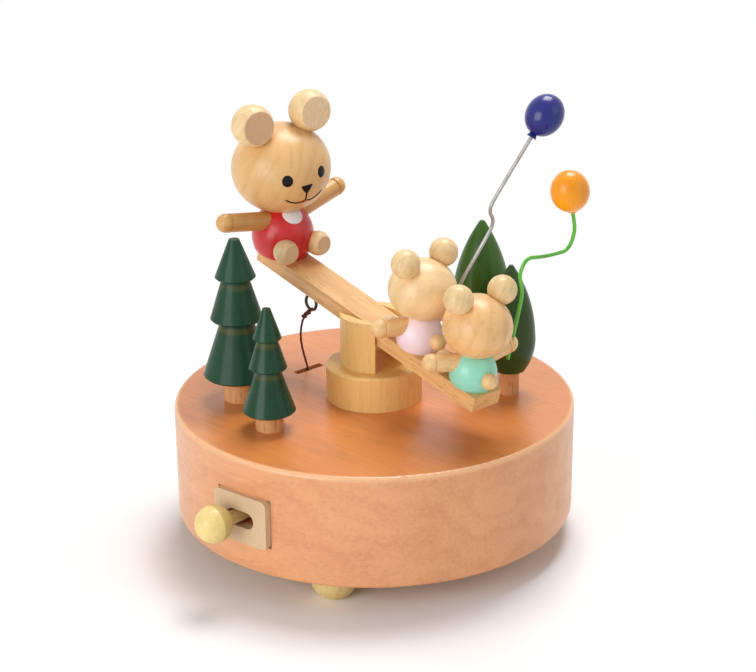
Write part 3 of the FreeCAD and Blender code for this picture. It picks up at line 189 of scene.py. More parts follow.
class Graph:
    """The node tree of one material or of the world."""

    def __init__(self, owner: Union[Material, bpy.types.World]) -> None:
        """Empties the owner's tree.

        Args:
            owner: the material or the world.
        """
        self.owner = owner
        owner.use_nodes = True
        self.tree = owner.node_tree
        self.tree.nodes.clear()

    def node(self, kind: str, settings: dict[str, Any], inputs: dict[Any, Any],
             output: Union[int, str] = 0) -> Optional[Value]:
        """Adds a node, sets it up and links its inputs.

        Args:
            kind: the node's type.
            settings: its properties, which are set first.
            inputs: values or links by socket name or number.
            output: the output to return.

        Returns:
            That output, or nothing for a node that ends the tree.
        """
        made = self.tree.nodes.new(kind)
        for key, value in settings.items():
            setattr(made, key, value)
        for key, value in inputs.items():
            if isinstance(value, Value):
                self.tree.links.new(value.socket, made.inputs[key])
            else:
                made.inputs[key].default_value = value
        return Value(self, made.outputs[output]) if made.outputs else None

    def vectors(self, operation: str, first: Value, second: Any, output: Union[int, str] = 0) -> Value:
        """The output of one more Vector Math node with these inputs."""
        return self.node("ShaderNodeVectorMath", {"operation": operation}, {0: first, 1: second}, output)

    def local(self) -> Value:
        """The piece's own coordinates."""
        return self.node("ShaderNodeTexCoord", {}, {}, "Object")

    def place_mm(self, grain: Vector, centre_mm: Triple = (0.0, 0.0, 0.0)) -> Value:
        """Object coordinates in millimetres, turned so that the grain runs along X.

        Args:
            grain: the grain's direction on the piece.
            centre_mm: the point that becomes the origin.

        Returns:
            The turned coordinates.
        """
        large = self.vectors("MULTIPLY", self.local(), (1.0 / MM,) * 3)
        moved = self.vectors("SUBTRACT", large, centre_mm)
        turn = grain.rotation_difference(ALONG_X).to_euler()
        return self.node("ShaderNodeMapping", {}, {"Vector": moved, "Rotation": turn})

    def noise(self, vector: Value, look: Noise) -> Value:
        """Smooth noise from about 0.2 to 0.8 on these coordinates."""
        drawn = self.vectors("MULTIPLY", vector, (look.along, look.across, look.across))
        return self.node("ShaderNodeTexNoise", {}, {"Vector": drawn, "Scale": look.waves,
                                                    "Detail": look.detail, "Roughness": look.rough})

    def parts(self, vector: Value) -> tuple[Value, ...]:
        """The X, Y and Z of coordinates."""
        split = self.node("ShaderNodeSeparateXYZ", {}, {0: vector}).socket.node
        return tuple(Value(self, socket) for socket in split.outputs)

    def mix(self, share: Number, first: Any, second: Any) -> Value:
        """The first colour with a share of the second."""
        inputs = {MIX_SHARE: share, MIX_FIRST: first, MIX_SECOND: second}
        return self.node("ShaderNodeMix", {"data_type": "RGBA"}, inputs, MIX_COLOUR)

    def bump(self, height: Value, depth_mm: float, strength: float) -> Value:
        """The normal of a height from 0 to 1, where 1 stands for a depth of which a share shows."""
        inputs = {"Height": height, "Distance": depth_mm * MM, "Strength": strength}
        return self.node("ShaderNodeBump", {}, inputs)

    def ended(self, shader: Value) -> Material:
        """The material, with its tree ended in this shader."""
        self.node("ShaderNodeOutputMaterial", {}, {"Surface": shader})
        return self.owner

    def surface(self, colour: Value, rough: Value, normal: Value, more: dict[str, float]) -> Material:
        """The material, with its tree ended in a Principled shader that has these inputs."""
        inputs = {"Base Color": colour, "Roughness": rough, "Normal": normal, **more}
        return self.ended(self.node("ShaderNodeBsdfPrincipled", {}, inputs))


BEAM_TILT = math.radians(14.3)
BEAR_AZIMUTH = math.radians(126.5)
DRUM_GRAIN = math.radians(-50.0)
LEVER_AZIMUTH = math.radians(-135.0)


class Grain(Enum):
    """The ways that the grain runs in the pieces."""

    UPRIGHT = (0.0, 0.0, 1.0)
    DRUM = (math.cos(DRUM_GRAIN), math.sin(DRUM_GRAIN), 0.0)
    BEAM = (math.cos(BEAR_AZIMUTH) * math.cos(BEAM_TILT), math.sin(BEAR_AZIMUTH) * math.cos(BEAM_TILT),
            math.sin(BEAM_TILT))
    LEVER = (math.cos(LEVER_AZIMUTH), math.sin(LEVER_AZIMUTH), 0.0)
    HEAD = (0.35, -0.2, 0.9)
    LIMB = (0.8, 0.6, 0.1)

    def vector(self) -> Vector:
        """The direction as a unit vector."""
        return Vector(self.value).normalized()


@dataclass(frozen=True)
class Flat:
    """A flat cut face, told from the round of its ball by how far it lies along its normal."""

    normal: Triple
    offset_mm: float
    edge_mm: Pair = (0.12, 0.04)

    @staticmethod
    def widest(node: Piece) -> "Flat":
        """Finds the direction in which most of a node's area is flat.

        Args:
            node: the node's object.

        Returns:
            The flat face.
        """
        normals, middles = (read(node.data.polygons, name, 3) for name in ("normal", "center"))
        areas = read(node.data.polygons, "area", 1)[:, 0]
        groups, index = np.unique(np.round(normals, decimals=2), axis=0, return_inverse=True)
        index = index.reshape(-1)
        chosen = index == np.argmax(np.bincount(index, weights=areas, minlength=len(groups)))
        normal = unit(np.average(normals[chosen], axis=0, weights=areas[chosen]))
        offset = np.average(middles[chosen] @ normal, weights=areas[chosen])
        return Flat(tuple(float(part) for part in normal), float(offset) / MM)

    def mask(self, graph: Graph) -> Value:
        """1 on the flat face and 0 elsewhere."""
        depth = graph.vectors("DOT_PRODUCT", graph.local(), self.normal, "Value") / MM
        return depth.reach(self.offset_mm, self.edge_mm)


@dataclass(frozen=True)
class TopTint:
    """Deeper lacquer on the drum's top face, and a painted highlight along the rounded rim round it."""

    height_mm: float
    radius_mm: float
    colour: Colour
    # A pale colour that stands for the highlight on the rounded rim of the top.
    rim_highlight_colour: Colour = srgb(255, 205, 155)
    rim_highlight_share: float = 0.55
    grain_share: float = 0.9
    grain_dark: float = 0.62
    face_edge_mm: Pair = (0.25, 0.05)
    rim_edge_mm: Pair = (1.5, 0.5)
    rim_drop_mm: Pair = (1.7, 0.6)

    def on(self, graph: Graph, colour: Value, shade: Value) -> Value:
        """Lays the tint and the painted rim highlight over the wood.

        Args:
            graph: the material's tree.
            colour: the wood's colour.
            shade: how dark the grain is.

        Returns:
            The tinted colour.
        """
        x, y, z = graph.parts(graph.local())
        height = z / MM
        radius = (x * x + y * y).root() / MM
        deep = graph.mix(shade * self.grain_share, self.colour, scaled(self.colour, self.grain_dark))
        tinted = graph.mix(height.reach(self.height_mm, self.face_edge_mm), colour, deep)
        # Painted highlight: the rounded rim where the top meets the side is lightened towards the pale
        # colour.
        rim = radius.reach(self.radius_mm, self.rim_edge_mm) * height.reach(self.height_mm, self.rim_drop_mm)
        return graph.mix(rim * self.rim_highlight_share, tinted, self.rim_highlight_colour)


MEAN = 0.5
BROAD = Noise(along=0.25, waves=0.07, detail=2.0)
STREAK = Noise(along=0.05, waves=1.1, detail=4.0, rough=0.65)
TOOL_RINGS = Noise(along=2.4, across=0.04, rough=0.6)
BRUSH_CLOUD = Noise(waves=0.16)
FIGURE = Noise(along=0.08, across=1.2, waves=1.2)
DRAWN_MARKS = Noise(along=0.15, across=3.0, waves=2.0, rough=0.6)
TARNISH = Noise(waves=0.3)
FIBRE = Noise(waves=9.0, detail=2.0)


@dataclass(frozen=True)
class WoodFinish:
    """Lacquered wood with growth rings, streaks and short pores."""

    name: str
    pale: Colour
    dark: Colour
    grain: Grain = Grain.UPRIGHT
    pith_mm: Triple = (0.0, 0.0, 0.0)
    ring_mm: float = 2.6
    ring_share: float = 0.3
    ring_bend: float = 3.0
    ring_ripple: float = 0.5
    late_from: float = 0.35
    late_to: float = 0.95
    broad_share: float = 0.9
    streak_share: float = 0.45
    streak_gain: float = 2.2
    streak_low: float = 0.35
    pore_share: float = 0.35
    pore_length: float = 0.22
    pore_count: float = 1.5
    pore_edge: Pair = (0.6, 0.72)
    pore_detail: float = 1.0
    pore_blur: float = 0.4
    pore_dark: float = 0.45
    roughness: float = 0.42
    streak_rough: float = 0.22
    pore_rough: float = 0.12
    coat: float = 0.12
    relief_mm: float = 0.035
    relief_show: float = 0.7
    streak_relief: float = 0.6
    pore_relief: float = 0.5
    flat: Optional[Flat] = None
    flat_colour: Colour = (0.5, 0.38, 0.28, 1.0)
    flat_share: float = 0.82
    flat_rough: float = 0.18
    fleck_low: float = 0.3
    fleck_share: float = 0.8
    top: Optional[TopTint] = None

    def material(self) -> Material:
        """Builds the finish.

        Rings are the fraction of the distance from the pith over the ring width, bent by
        noise; streaks are noise drawn out along the grain; pores are the peaks of a finer one.

        Returns:
            The material.
        """
        graph = Graph(bpy.data.materials.new(self.name))
        place = graph.place_mm(self.grain.vector(), self.pith_mm)
        broad = graph.noise(place, BROAD) - MEAN
        streak = graph.noise(place, STREAK)
        _, across, up = graph.parts(place)
        distance = (across * across + up * up).root() / self.ring_mm
        bent = distance + broad * self.ring_bend + (streak - MEAN) * self.ring_ripple
        ring = bent.combine("FRACT", bent)
        late = ring.step(self.late_from, self.late_to) * ring.step(1.0, self.late_to)
        pores = Noise(self.pore_length, 1.0, self.pore_count, self.pore_detail, self.pore_blur)
        fleck = graph.noise(place, pores)
        pore = fleck.step(*self.pore_edge)
        drawn = (streak - self.streak_low) * self.streak_gain * self.streak_share
        shade = drawn + late * self.ring_share + broad * self.broad_share
        colour = graph.mix(shade, self.pale, self.dark)
        if self.top is not None:
            colour = self.top.on(graph, colour, shade)
        colour = graph.mix(pore * self.pore_share, colour, scaled(self.dark, self.pore_dark))
        rough = self.roughness + (streak - MEAN) * self.streak_rough + pore * self.pore_rough
        if self.flat is not None:
            face = self.flat.mask(graph)
            end = graph.mix((fleck - self.fleck_low) * self.fleck_share, self.flat_colour, self.dark)
            colour = graph.mix(face * self.flat_share, colour, end)
            rough = rough + face * self.flat_rough
        relief = streak * self.streak_relief - pore * self.pore_relief
        normal = graph.bump(relief, self.relief_mm, self.relief_show)
        return graph.surface(colour, rough, normal, {
            "Coat Weight": self.coat, "Coat Roughness": 0.25, "Specular IOR Level": 0.4})


@dataclass(frozen=True)
class PaintFinish:
    """Paint on turned wood, thin enough to show the tool's rings and the grain."""

    name: str
    colour: Colour
    shade: Colour
    bare: Colour = (0.2, 0.13, 0.05, 1.0)
    thin_at_mm: tuple[float, ...] = ()
    thin_width_mm: float = 0.7
    thin_full_mm: float = 0.1
    thin_share: float = 0.75
    thin_low: float = 0.2
    ring_depth_mm: float = 0.05
    ring_tint: float = 0.25
    ring_rough: float = 0.12
    ring_relief: float = 0.7
    cloud_tint: float = 0.9
    cloud_low: float = 0.35
    cloud_rough: float = 0.2
    grain_tint: float = 0.6
    grain_relief: float = 0.3
    relief_show: float = 0.8
    roughness: float = 0.34
    coat: float = 0.25
    specular: float = 0.4
    drip: float = 0.0

    def material(self) -> Material:
        """Builds the finish.

        Turned rings are noise squeezed along Z; the paint pales where the brush left less of it,
        and shows the wood near the heights where it wore thin.

        Returns:
            The material.
        """
        graph = Graph(bpy.data.materials.new(self.name))
        upright = graph.place_mm(Grain.UPRIGHT.vector())
        level = graph.place_mm(ALONG_X)
        rings = graph.noise(upright, TOOL_RINGS)
        cloud = graph.noise(level, BRUSH_CLOUD)
        grain = graph.noise(upright, FIGURE)
        share = (cloud - self.cloud_low) * self.cloud_tint + (rings - MEAN) * self.ring_tint
        colour = graph.mix(share + (grain - MEAN) * self.grain_tint, self.colour, self.shade)
        if self.thin_at_mm:
            height = graph.parts(level)[2]
            gaps = [height.combine("ABSOLUTE", height - place) for place in self.thin_at_mm]
            worn = sum((gap.step(self.thin_width_mm, self.thin_full_mm) for gap in gaps), 0.0)
            colour = graph.mix(worn * (cloud + self.thin_low) * self.thin_share, colour, self.bare)
        rough = self.roughness + (cloud - MEAN) * self.cloud_rough
        rough = rough + (rings - MEAN) * self.ring_rough
        relief = rings * self.ring_relief + grain * self.grain_relief + cloud * self.drip
        normal = graph.bump(relief, self.ring_depth_mm, self.relief_show)
        return graph.surface(colour, rough, normal, {
            "Coat Weight": self.coat, "Coat Roughness": 0.15, "Specular IOR Level": self.specular})


@dataclass(frozen=True)
class MetalFinish:
    """Drawn or cast metal with fine marks."""

    name: str
    colour: Colour
    shade: Colour
    metallic: float = 1.0
    roughness: float = 0.3
    mark_rough: float = 0.25
    mark_mm: float = 0.01
    mark_show: float = 0.5
    cloud_tint: float = 1.1
    cloud_low: float = 0.3
    cloud_rough: float = 0.15

    def material(self) -> Material:
        """Builds the finish from fine noise along Z and a slow cloud of tarnish.

        Returns:
            The material.
        """
        graph = Graph(bpy.data.materials.new(self.name))
        place = graph.place_mm(Grain.UPRIGHT.vector())
        marks = graph.noise(place, DRAWN_MARKS)
        cloud = graph.noise(place, TARNISH)
        colour = graph.mix((cloud - self.cloud_low) * self.cloud_tint, self.colour, self.shade)
        rough = self.roughness + (marks - MEAN) * self.mark_rough
        rough = rough + (cloud - MEAN) * self.cloud_rough
        normal = graph.bump(marks, self.mark_mm, self.mark_show)
        return graph.surface(colour, rough, normal, {"Metallic": self.metallic})


@dataclass(frozen=True)
class CordFinish:
    """Waxed twisted cord, with painted shade in the grooves between its strands."""

    name: str
    colour: Colour
    shade: Colour
    strand_groove_shade: float = 0.7
    fibre_tint: float = 0.6
    fibre_rough: float = 0.3
    fibre_mm: float = 0.03
    fibre_show: float = 0.6
    roughness: float = 0.62

    def material(self) -> Material:
        """Builds the finish from the strand attribute, which lays painted shade in the grooves, and fine
        fibre noise.

        Returns:
            The material.
        """
        graph = Graph(bpy.data.materials.new(self.name))
        strand = graph.node("ShaderNodeAttribute", {"attribute_name": "strand"}, {}, "Fac")
        fibre = graph.noise(graph.place_mm(Grain.UPRIGHT.vector()), FIBRE)
        fuzz = fibre - MEAN
        # Painted shade: the colour darkens towards the shade colour in the grooves between the lobes.
        colour = graph.mix(strand * self.strand_groove_shade + fuzz * self.fibre_tint, self.shade, self.colour)
        rough = self.roughness + fuzz * self.fibre_rough
        return graph.surface(colour, rough, graph.bump(fibre, self.fibre_mm, self.fibre_show), {})


Finish = Union[WoodFinish, PaintFinish, MetalFinish, CordFinish]
Coats = dict[Finish, str]


def put_on(finish: Finish, *objects: Piece) -> None:
    """Gives objects one finish in place of what they have.

    Args:
        finish: the finish.
        objects: the objects.
    """
    material = finish.material()
    for item in objects:
        item.data.materials.clear()
        item.data.materials.append(material)


def grid_piece(name: str, points: Array, closed: bool) -> Piece:
    """Makes a smooth piece of quads from a grid of points.

    Args:
        name: the piece's name.
        points: rows by columns by 3; the columns go once round.
        closed: whether the rows go once round too; otherwise the first and last row are capped.

    Returns:
        The piece, with its place in its mesh.
    """
    rows, columns = points.shape[:2]
    last = rows if closed else rows - 1
    row, column = np.meshgrid(np.arange(last), np.arange(columns), indexing="ij")
    after = (row + 1) % rows
    beside = (column + 1) % columns
    corners = ((row, column), (row, beside), (after, beside), (after, column))
    faces = np.stack([i * columns + j for i, j in corners], axis=-1).reshape(-1, 4).tolist()
    if not closed:
        ring = np.arange(columns)
        faces += [ring[::-1].tolist(), (ring + (rows - 1) * columns).tolist()]
    mesh = bpy.data.meshes.new(name)
    mesh.from_pydata(points.reshape(-1, 3).tolist(), [], faces)
    mesh.validate()
    mesh.polygons.foreach_set("use_smooth", np.ones(len(mesh.polygons), dtype=bool))
    mesh.update()
    return add_object(name, mesh)


def tube_points(path: Array, side: Array, radius: Array, around: int) -> Array:
    """Carries a round section along a path.

    Args:
        path: the path's points, n by 3.
        side: one direction across the path at each point, n by 3.
        radius: the section's radius, n by 1 or n by around.
        around: how many points each section has.

    Returns:
        The points, n by around by 3.
    """
    tangent = unit(np.gradient(path, axis=0))
    first = unit(side - np.sum(side * tangent, axis=1, keepdims=True) * tangent)
    second = np.cross(tangent, first)
    angle = turns(around)[None, :, None]
    ring = np.cos(angle) * first[:, None, :] + np.sin(angle) * second[:, None, :]
    return path[:, None, :] + radius[:, :, None] * ring


PATCH_POLE = 1e-3
PATCH_FALL = 0.98
PATCH_BACK = 0.25
PATCH_SINK = 0.00008
LINE_SINK = 0.15
LINE_AROUND = 12
LINE_END = 1e-4
LINE_END_POWER = 8
PHILTRUM_POINTS = 12
SMILE_POINTS = 24


@dataclass(frozen=True)
class Round:
    """An egg in the model, with its own forward, left and up, on which faces and bibs are drawn."""

    centre: Triple
    wide: float
    tall: float
    heading: float
    pitch: float = 0.0
    turn: float = 0.0
    roll: float = 0.0

    def axes(self) -> Array:
        """The egg's own axes.

        Returns:
            Its forward, left and up as the columns of a matrix.
        """
        angles = ((self.heading, "Z"), (-self.pitch, "Y"), (self.turn, "Z"), (self.roll, "X"))
        about = [Matrix.Rotation(math.radians(angle), 3, axis) for angle, axis in angles]
        return np.array(about[0] @ about[1] @ about[2] @ about[3])

    def lift(self, local: Array, height: Array) -> Array:
        """Puts directions from the egg's centre on its surface, and raises them.

        Args:
            local: directions in the egg's own axes, any shape by 3.
            height: how far to raise each.

        Returns:
            The points in the model.
        """
        stretch = np.array([self.wide, self.wide, self.tall])
        share = unit(local / stretch)
        raised = share * stretch + unit(share / stretch) * height[..., None]
        return raised @ self.axes().T + np.array(self.centre)

    @staticmethod
    def direction(azimuth: Array, elevation: Array) -> Array:
        """Unit vectors in the egg's own axes, from degrees towards its left and degrees upwards."""
        turn, rise = np.radians(azimuth), np.radians(elevation)
        return np.stack([np.cos(rise) * np.cos(turn), np.cos(rise) * np.sin(turn), np.sin(rise)], axis=-1)

    def patch(self, name: str, azimuth: float, elevation: float, outline: Array, dome: float,
              rings: int = 9) -> Piece:
        """A lens of paint on the egg: a raised front, and a back just under the surface.

        Args:
            name: the piece's name.
            azimuth: the middle's degrees towards the left.
            elevation: the middle's degrees upwards.
            outline: the rim's left and up distances from the middle, n by 2.
            dome: how far the middle stands proud.
            rings: how many rings the front has, and the back too.

        Returns:
            The piece.
        """
        middle = self.direction(np.array(azimuth), np.array(elevation))
        middle = middle / np.linalg.norm(middle / np.array([self.wide, self.wide, self.tall]))
        left = np.array([-math.sin(math.radians(azimuth)), math.cos(math.radians(azimuth)), 0.0])
        rise = np.cross(unit(middle), left)
        sweep = np.linspace(0.0, 2.0, 2 * rings + 1)
        share = 1.0 - np.abs(1.0 - sweep)
        share[0] = share[-1] = PATCH_POLE
        front = dome * np.sqrt(1.0 - PATCH_FALL * share ** 2)
        height = np.where(sweep >= 1.0, front, -PATCH_BACK * dome - PATCH_SINK)
        offset = share[:, None, None] * outline[None, :, :]
        local = middle + offset[..., :1] * left + offset[..., 1:] * rise
        points = self.lift(local, np.broadcast_to(height[:, None], local.shape[:2]))
        return grid_piece(name, points, False)

    def line(self, name: str, azimuth: Array, elevation: Array, width: float) -> Piece:
        """A painted line on the egg, half sunk, with rounded ends.

        Args:
            name: the piece's name.
            azimuth: degrees towards the left along the line.
            elevation: degrees upwards along the line.
            width: the line's width.

        Returns:
            The piece.
        """
        local = self.direction(azimuth, elevation)
        path = self.lift(local, np.full(len(azimuth), -LINE_SINK * width))
        outward = self.lift(local, np.full(len(azimuth), width)) - path
        place = np.linspace(-1.0, 1.0, len(azimuth))
        radius = 0.5 * width * np.sqrt(np.clip(1.0 - place ** LINE_END_POWER, LINE_END, 1.0))
        return grid_piece(name, tube_points(path, outward, radius[:, None], LINE_AROUND), False)


def ellipse(wide: float, tall: float, count: int = 32) -> Array:
    """The rim of an ellipse as left and up distances."""
    angle = turns(count)
    return np.stack([wide * np.cos(angle), tall * np.sin(angle)], axis=-1)


SNOUT_REACH = 0.62
SNOUT_CORNER = 0.56
SNOUT_SOFT = 0.1
SNOUT_TALL = 0.86


def snout(size: float, count: int = 48) -> Array:
    """The rim of a rounded triangle that points down.

    The radius is size over the cosine of the angle from the nearest side's middle, softened at the corners.

    Args:
        size: the half width.
        count: how many points it has.

    Returns:
        Left and up distances.
    """
    angle = turns(count)
    third = FULL_TURN / 3.0
    from_side = np.mod(angle - math.pi / 2.0 + third / 2.0, third) - third / 2.0
    radius = size * SNOUT_REACH / np.maximum(np.cos(from_side), SNOUT_CORNER)
    radius *= 1.0 - SNOUT_SOFT * np.abs(from_side) ** 3
    return np.stack([radius * np.cos(angle), SNOUT_TALL * radius * np.sin(angle)], axis=-1)


# The face ink's second colour is a paler blue that stands as a painted sheen on the gloss paint, spread by
# noise.
FACE_INK_AND_SHEEN = PaintFinish("face_ink", srgb(16, 16, 22), srgb(28, 28, 40), specular=0.14, coat=0.1, ring_depth_mm=0.01)
TONGUE = PaintFinish("tongue_red", srgb(205, 40, 40), srgb(180, 30, 34), roughness=0.4, ring_depth_mm=0.01)
BIB = PaintFinish("bib_white", srgb(246, 246, 248), srgb(222, 226, 232), roughness=0.4, ring_depth_mm=0.02)


@dataclass
class Face:
    """A painted bear's face: two eyes, a nose, a mouth and a dot of tongue."""

    owner: str
    head: Round
    eye: float = 0.00115
    nose: float = 0.0013
    line: float = 0.0004
    eye_wide: float = 0.92
    eye_dome: float = 0.00025
    eye_azimuth: float = 22.9
    eye_elevation: float = 1.1
    nose_dome: float = 0.00022
    nose_elevation: float = -12.3
    nose_half: float = 3.0
    lip_elevation: float = -30.0
    smile_elevation: float = -22.5
    smile_reach: float = 28.5
    smile_depth: float = 5.0
    tongue_azimuth: float = -1.8
    tongue_drop: float = 1.6
    tongue_wide: float = 1.6
    tongue_tall: float = 1.2
    tongue_dome: float = 0.00012

    def build(self) -> None:
        """Draws the face on the head and lets it ride with the seesaw."""
        ink = [self.eye_piece("left", 1.0), self.eye_piece("right", -1.0), self.nose_piece(), self.philtrum(),
               self.smile("left", 1.0), self.smile("right", -1.0)]
        put_on(FACE_INK_AND_SHEEN, *ink)
        rim = ellipse(self.tongue_wide * self.line, self.tongue_tall * self.line)
        low = self.lip_elevation - self.tongue_drop
        tongue = self.head.patch(self.owner + "_tongue", self.tongue_azimuth, low, rim, self.tongue_dome)
        put_on(TONGUE, tongue)
        for piece in ink + [tongue]:
            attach(piece, "seesaw")

    def eye_piece(self, word: str, side: float) -> Piece:
        """One domed eye, with side 1 on the left and -1 on the right."""
        rim = ellipse(self.eye * self.eye_wide, self.eye)
        return self.head.patch(self.owner + "_eye_" + word, side * self.eye_azimuth, self.eye_elevation, rim,
                               self.eye_dome)

    def nose_piece(self) -> Piece:
        """The domed nose."""
        rim = snout(self.nose)
        return self.head.patch(self.owner + "_nose", 0.0, self.nose_elevation, rim, self.nose_dome)

    def philtrum(self) -> Piece:
        """The line from the nose down to the lip."""
        drop = np.linspace(self.nose_elevation - self.nose_half, self.lip_elevation, PHILTRUM_POINTS)
        return self.head.line(self.owner + "_philtrum", np.zeros_like(drop), drop, self.line)

    def smile(self, word: str, side: float) -> Piece:
        """One half of the mouth: a parabola from under the eye to the lip.

        Args:
            word: the side's name.
            side: 1 on the left and -1 on the right.

        Returns:
            The piece.
        """
        share = np.linspace(0.0, 1.0, SMILE_POINTS)
        sag = 4.0 * self.smile_depth * share * (1.0 - share)
        elevation = self.smile_elevation + share * (self.lip_elevation - self.smile_elevation) - sag
        azimuth = side * self.smile_reach * (1.0 - share)
        return self.head.line(self.owner + "_smile_" + word, azimuth, elevation, self.line)


@dataclass
class Assembly:
    """A group of the model's nodes that is dressed together."""

    nodes: Nodes

    def coat(self, coats: Coats) -> None:
        """Gives each finish to the nodes whose names, parted by spaces, stand with it."""
        for finish, names in coats.items():
            put_on(finish, *(self.nodes[name] for name in names.split()))


@dataclass
class Drum(Assembly):
    """The drum, its board and its feet."""

    top_mm: float = 40.8
    radius_mm: float = 57.5

    def dress(self) -> None:
        """Gives the base its woods."""
        top = TopTint(self.top_mm, self.radius_mm, srgb(228, 140, 70))
        self.coat({
            WoodFinish("drum_beech", srgb(236, 168, 116), srgb(208, 130, 84), Grain.DRUM,
                       pith_mm=(0.0, 30.0, 130.0), ring_mm=9.0, ring_share=0.18, streak_share=0.42,
                       pore_share=0.16, pore_length=0.1, pore_count=2.0, roughness=0.36, coat=0.45,
                       top=top): "base_drum",
            WoodFinish("board_plywood", srgb(226, 176, 122), srgb(196, 140, 88), Grain.DRUM,
                       pith_mm=(0.0, 0.0, 60.0), ring_mm=6.0, roughness=0.5, coat=0.0): "bottom_board",
            WoodFinish("foot_maple", srgb(236, 208, 142), srgb(206, 168, 96), pith_mm=(40.0, -40.0, 0.0),
                       ring_share=0.2, streak_share=0.3, pore_share=0.2): "ball_feet",
        })


@dataclass
class StopLever(Assembly):
    """The slotted plate on the drum's side, and the lever with its ball."""

    pith_mm: Triple = (-40.0, -34.0, 22.0)

    def dress(self) -> None:
        """Gives the plate and the lever their woods."""
        plate, knob = (Flat.widest(self.nodes[name]) for name in ("slot_plate", "stop_knob"))
        self.coat({
            # The plate's face takes the darker flat colour; its edges keep the paler wood colour as a painted
            # highlight.
            WoodFinish("plate_tan", srgb(222, 192, 154), srgb(196, 164, 128), ring_share=0.05,
                       streak_share=0.2, pore_share=0.12, roughness=0.5, coat=0.05, flat=plate,
                       flat_colour=srgb(170, 146, 118)): "slot_plate",
            WoodFinish("knob_maple", srgb(242, 218, 142), srgb(214, 180, 100), Grain.LEVER, self.pith_mm,
                       ring_share=0.08, streak_share=0.3, pore_share=0.12, roughness=0.38, flat=knob,
                       flat_colour=srgb(190, 166, 98)): "stop_knob",
            WoodFinish("lever_birch", srgb(226, 188, 128), srgb(186, 140, 84), Grain.LEVER, self.pith_mm,
                       ring_share=0.2, pore_share=0.25): "stop_lever",
        })


@dataclass
class Stand(Assembly):
    """The round disc and the two cheeks that carry the beam, and the beam itself."""

    def dress(self) -> None:
        """Gives the stand and the beam their woods."""
        honey = dict(pale=srgb(247, 204, 128), dark=srgb(222, 166, 90), ring_share=0.18, streak_share=0.35,
                     pore_share=0.16, roughness=0.4)
        self.coat({
            WoodFinish("disc_honey", pith_mm=(30.0, 8.0, 0.0), **honey): "pivot_disc",
            WoodFinish("cheek_honey", pith_mm=(-20.0, 26.0, 0.0), **honey): "cheek_near cheek_far",
            WoodFinish("beam_beech", srgb(240, 192, 128), srgb(206, 142, 84), Grain.BEAM,
                       pith_mm=(4.0, 8.0, 20.0), ring_mm=3.4, ring_share=0.28, streak_share=0.4,
                       pore_share=0.3, roughness=0.4): "beam",
        })


@dataclass
class Figure(Assembly):
    """A seated bear: wood head, ears and limbs with one painted body, and a painted face."""

    face: Face
    paint: PaintFinish
    pith_mm: Triple
    limb_nodes: tuple[str, ...]
    flat_nodes: dict[str, Colour]
    pale: Colour = srgb(236, 190, 128)
    dark: Colour = srgb(212, 156, 94)
    limb_pale: Colour = srgb(246, 208, 150)
    limb_dark: Colour = srgb(218, 166, 102)
    flat_pale: Colour = srgb(244, 214, 162)
    flat_dark: Colour = srgb(214, 168, 108)

    def dress(self) -> None:
        """Gives the figure its woods and its paint."""
        start = self.face.owner + "_"
        head = WoodFinish(start + "head_wood", self.pale, self.dark, Grain.HEAD, self.pith_mm, ring_mm=3.8,
                          ring_share=0.26, streak_share=0.26, pore_share=0.1, roughness=0.38, coat=0.25)
        limb = WoodFinish(start + "limb_wood", self.limb_pale, self.limb_dark, Grain.LIMB, self.pith_mm,
                          ring_share=0.18, streak_share=0.4, pore_share=0.14, roughness=0.38, coat=0.25)
        coats = {head: start + "head", self.paint: start + "body",
                 limb: " ".join(start + name for name in self.limb_nodes)}
        for name, colour in self.flat_nodes.items():
            flat = Flat.widest(self.nodes[start + name])
            wood = WoodFinish(start + name + "_wood", self.flat_pale, self.flat_dark, Grain.HEAD,
                              self.pith_mm, ring_mm=2.0, ring_share=0.22, streak_share=0.35,
                              pore_share=0.12, roughness=0.4, flat=flat, flat_colour=colour)
            coats[wood] = start + name
        self.coat(coats)


@dataclass
class Bib:
    """The white bib under the big bear's chin."""

    body: Round
    radius: float = 0.0034
    azimuth: float = -9.0
    elevation: float = 52.0
    dome: float = 0.00012

    def build(self) -> None:
        """Lays the bib on the body."""
        rim = ellipse(self.radius, self.radius, 48)
        piece = self.body.patch("bear_bib", self.azimuth, self.elevation, rim, self.dome)
        put_on(BIB, piece)
        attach(piece, "seesaw")


@dataclass
class Woods(Assembly):
    """The four trees on the drum."""

    def dress(self) -> None:
        """Gives the crowns their greens and leaves the trunks bare."""
        crown = dict(coat=0.12, specular=0.16, drip=0.6)
        fir = dict(colour=srgb(28, 70, 46), shade=srgb(15, 42, 29), bare=srgb(86, 84, 40), thin_width_mm=1.3,
                   ring_depth_mm=0.03, ring_tint=0.1, **crown)
        leaf = dict(shade=srgb(34, 54, 20), roughness=0.36, ring_depth_mm=0.04, ring_tint=0.15, **crown)
        trunk = WoodFinish("trunk_wood", srgb(228, 172, 116), srgb(184, 122, 70), pith_mm=(5.0, 2.0, 0.0),
                           ring_share=0.2, streak_share=0.6, pore_share=0.4, roughness=0.55, coat=0.0)
        self.coat({
            PaintFinish("fir_tall_green", thin_at_mm=(62.9, 75.6), roughness=0.4, **fir):
                "fir_tall_foliage",
            PaintFinish("fir_short_green", thin_at_mm=(57.1, 66.1), roughness=0.28, **fir):
                "fir_short_foliage",
            PaintFinish("round_back_green", colour=srgb(64, 104, 36), **leaf): "round_back_foliage",
            PaintFinish("round_front_green", colour=srgb(54, 80, 34), **leaf): "round_front_foliage",
            trunk: "fir_tall_trunk fir_short_trunk round_front_trunk round_back_trunk",
        })


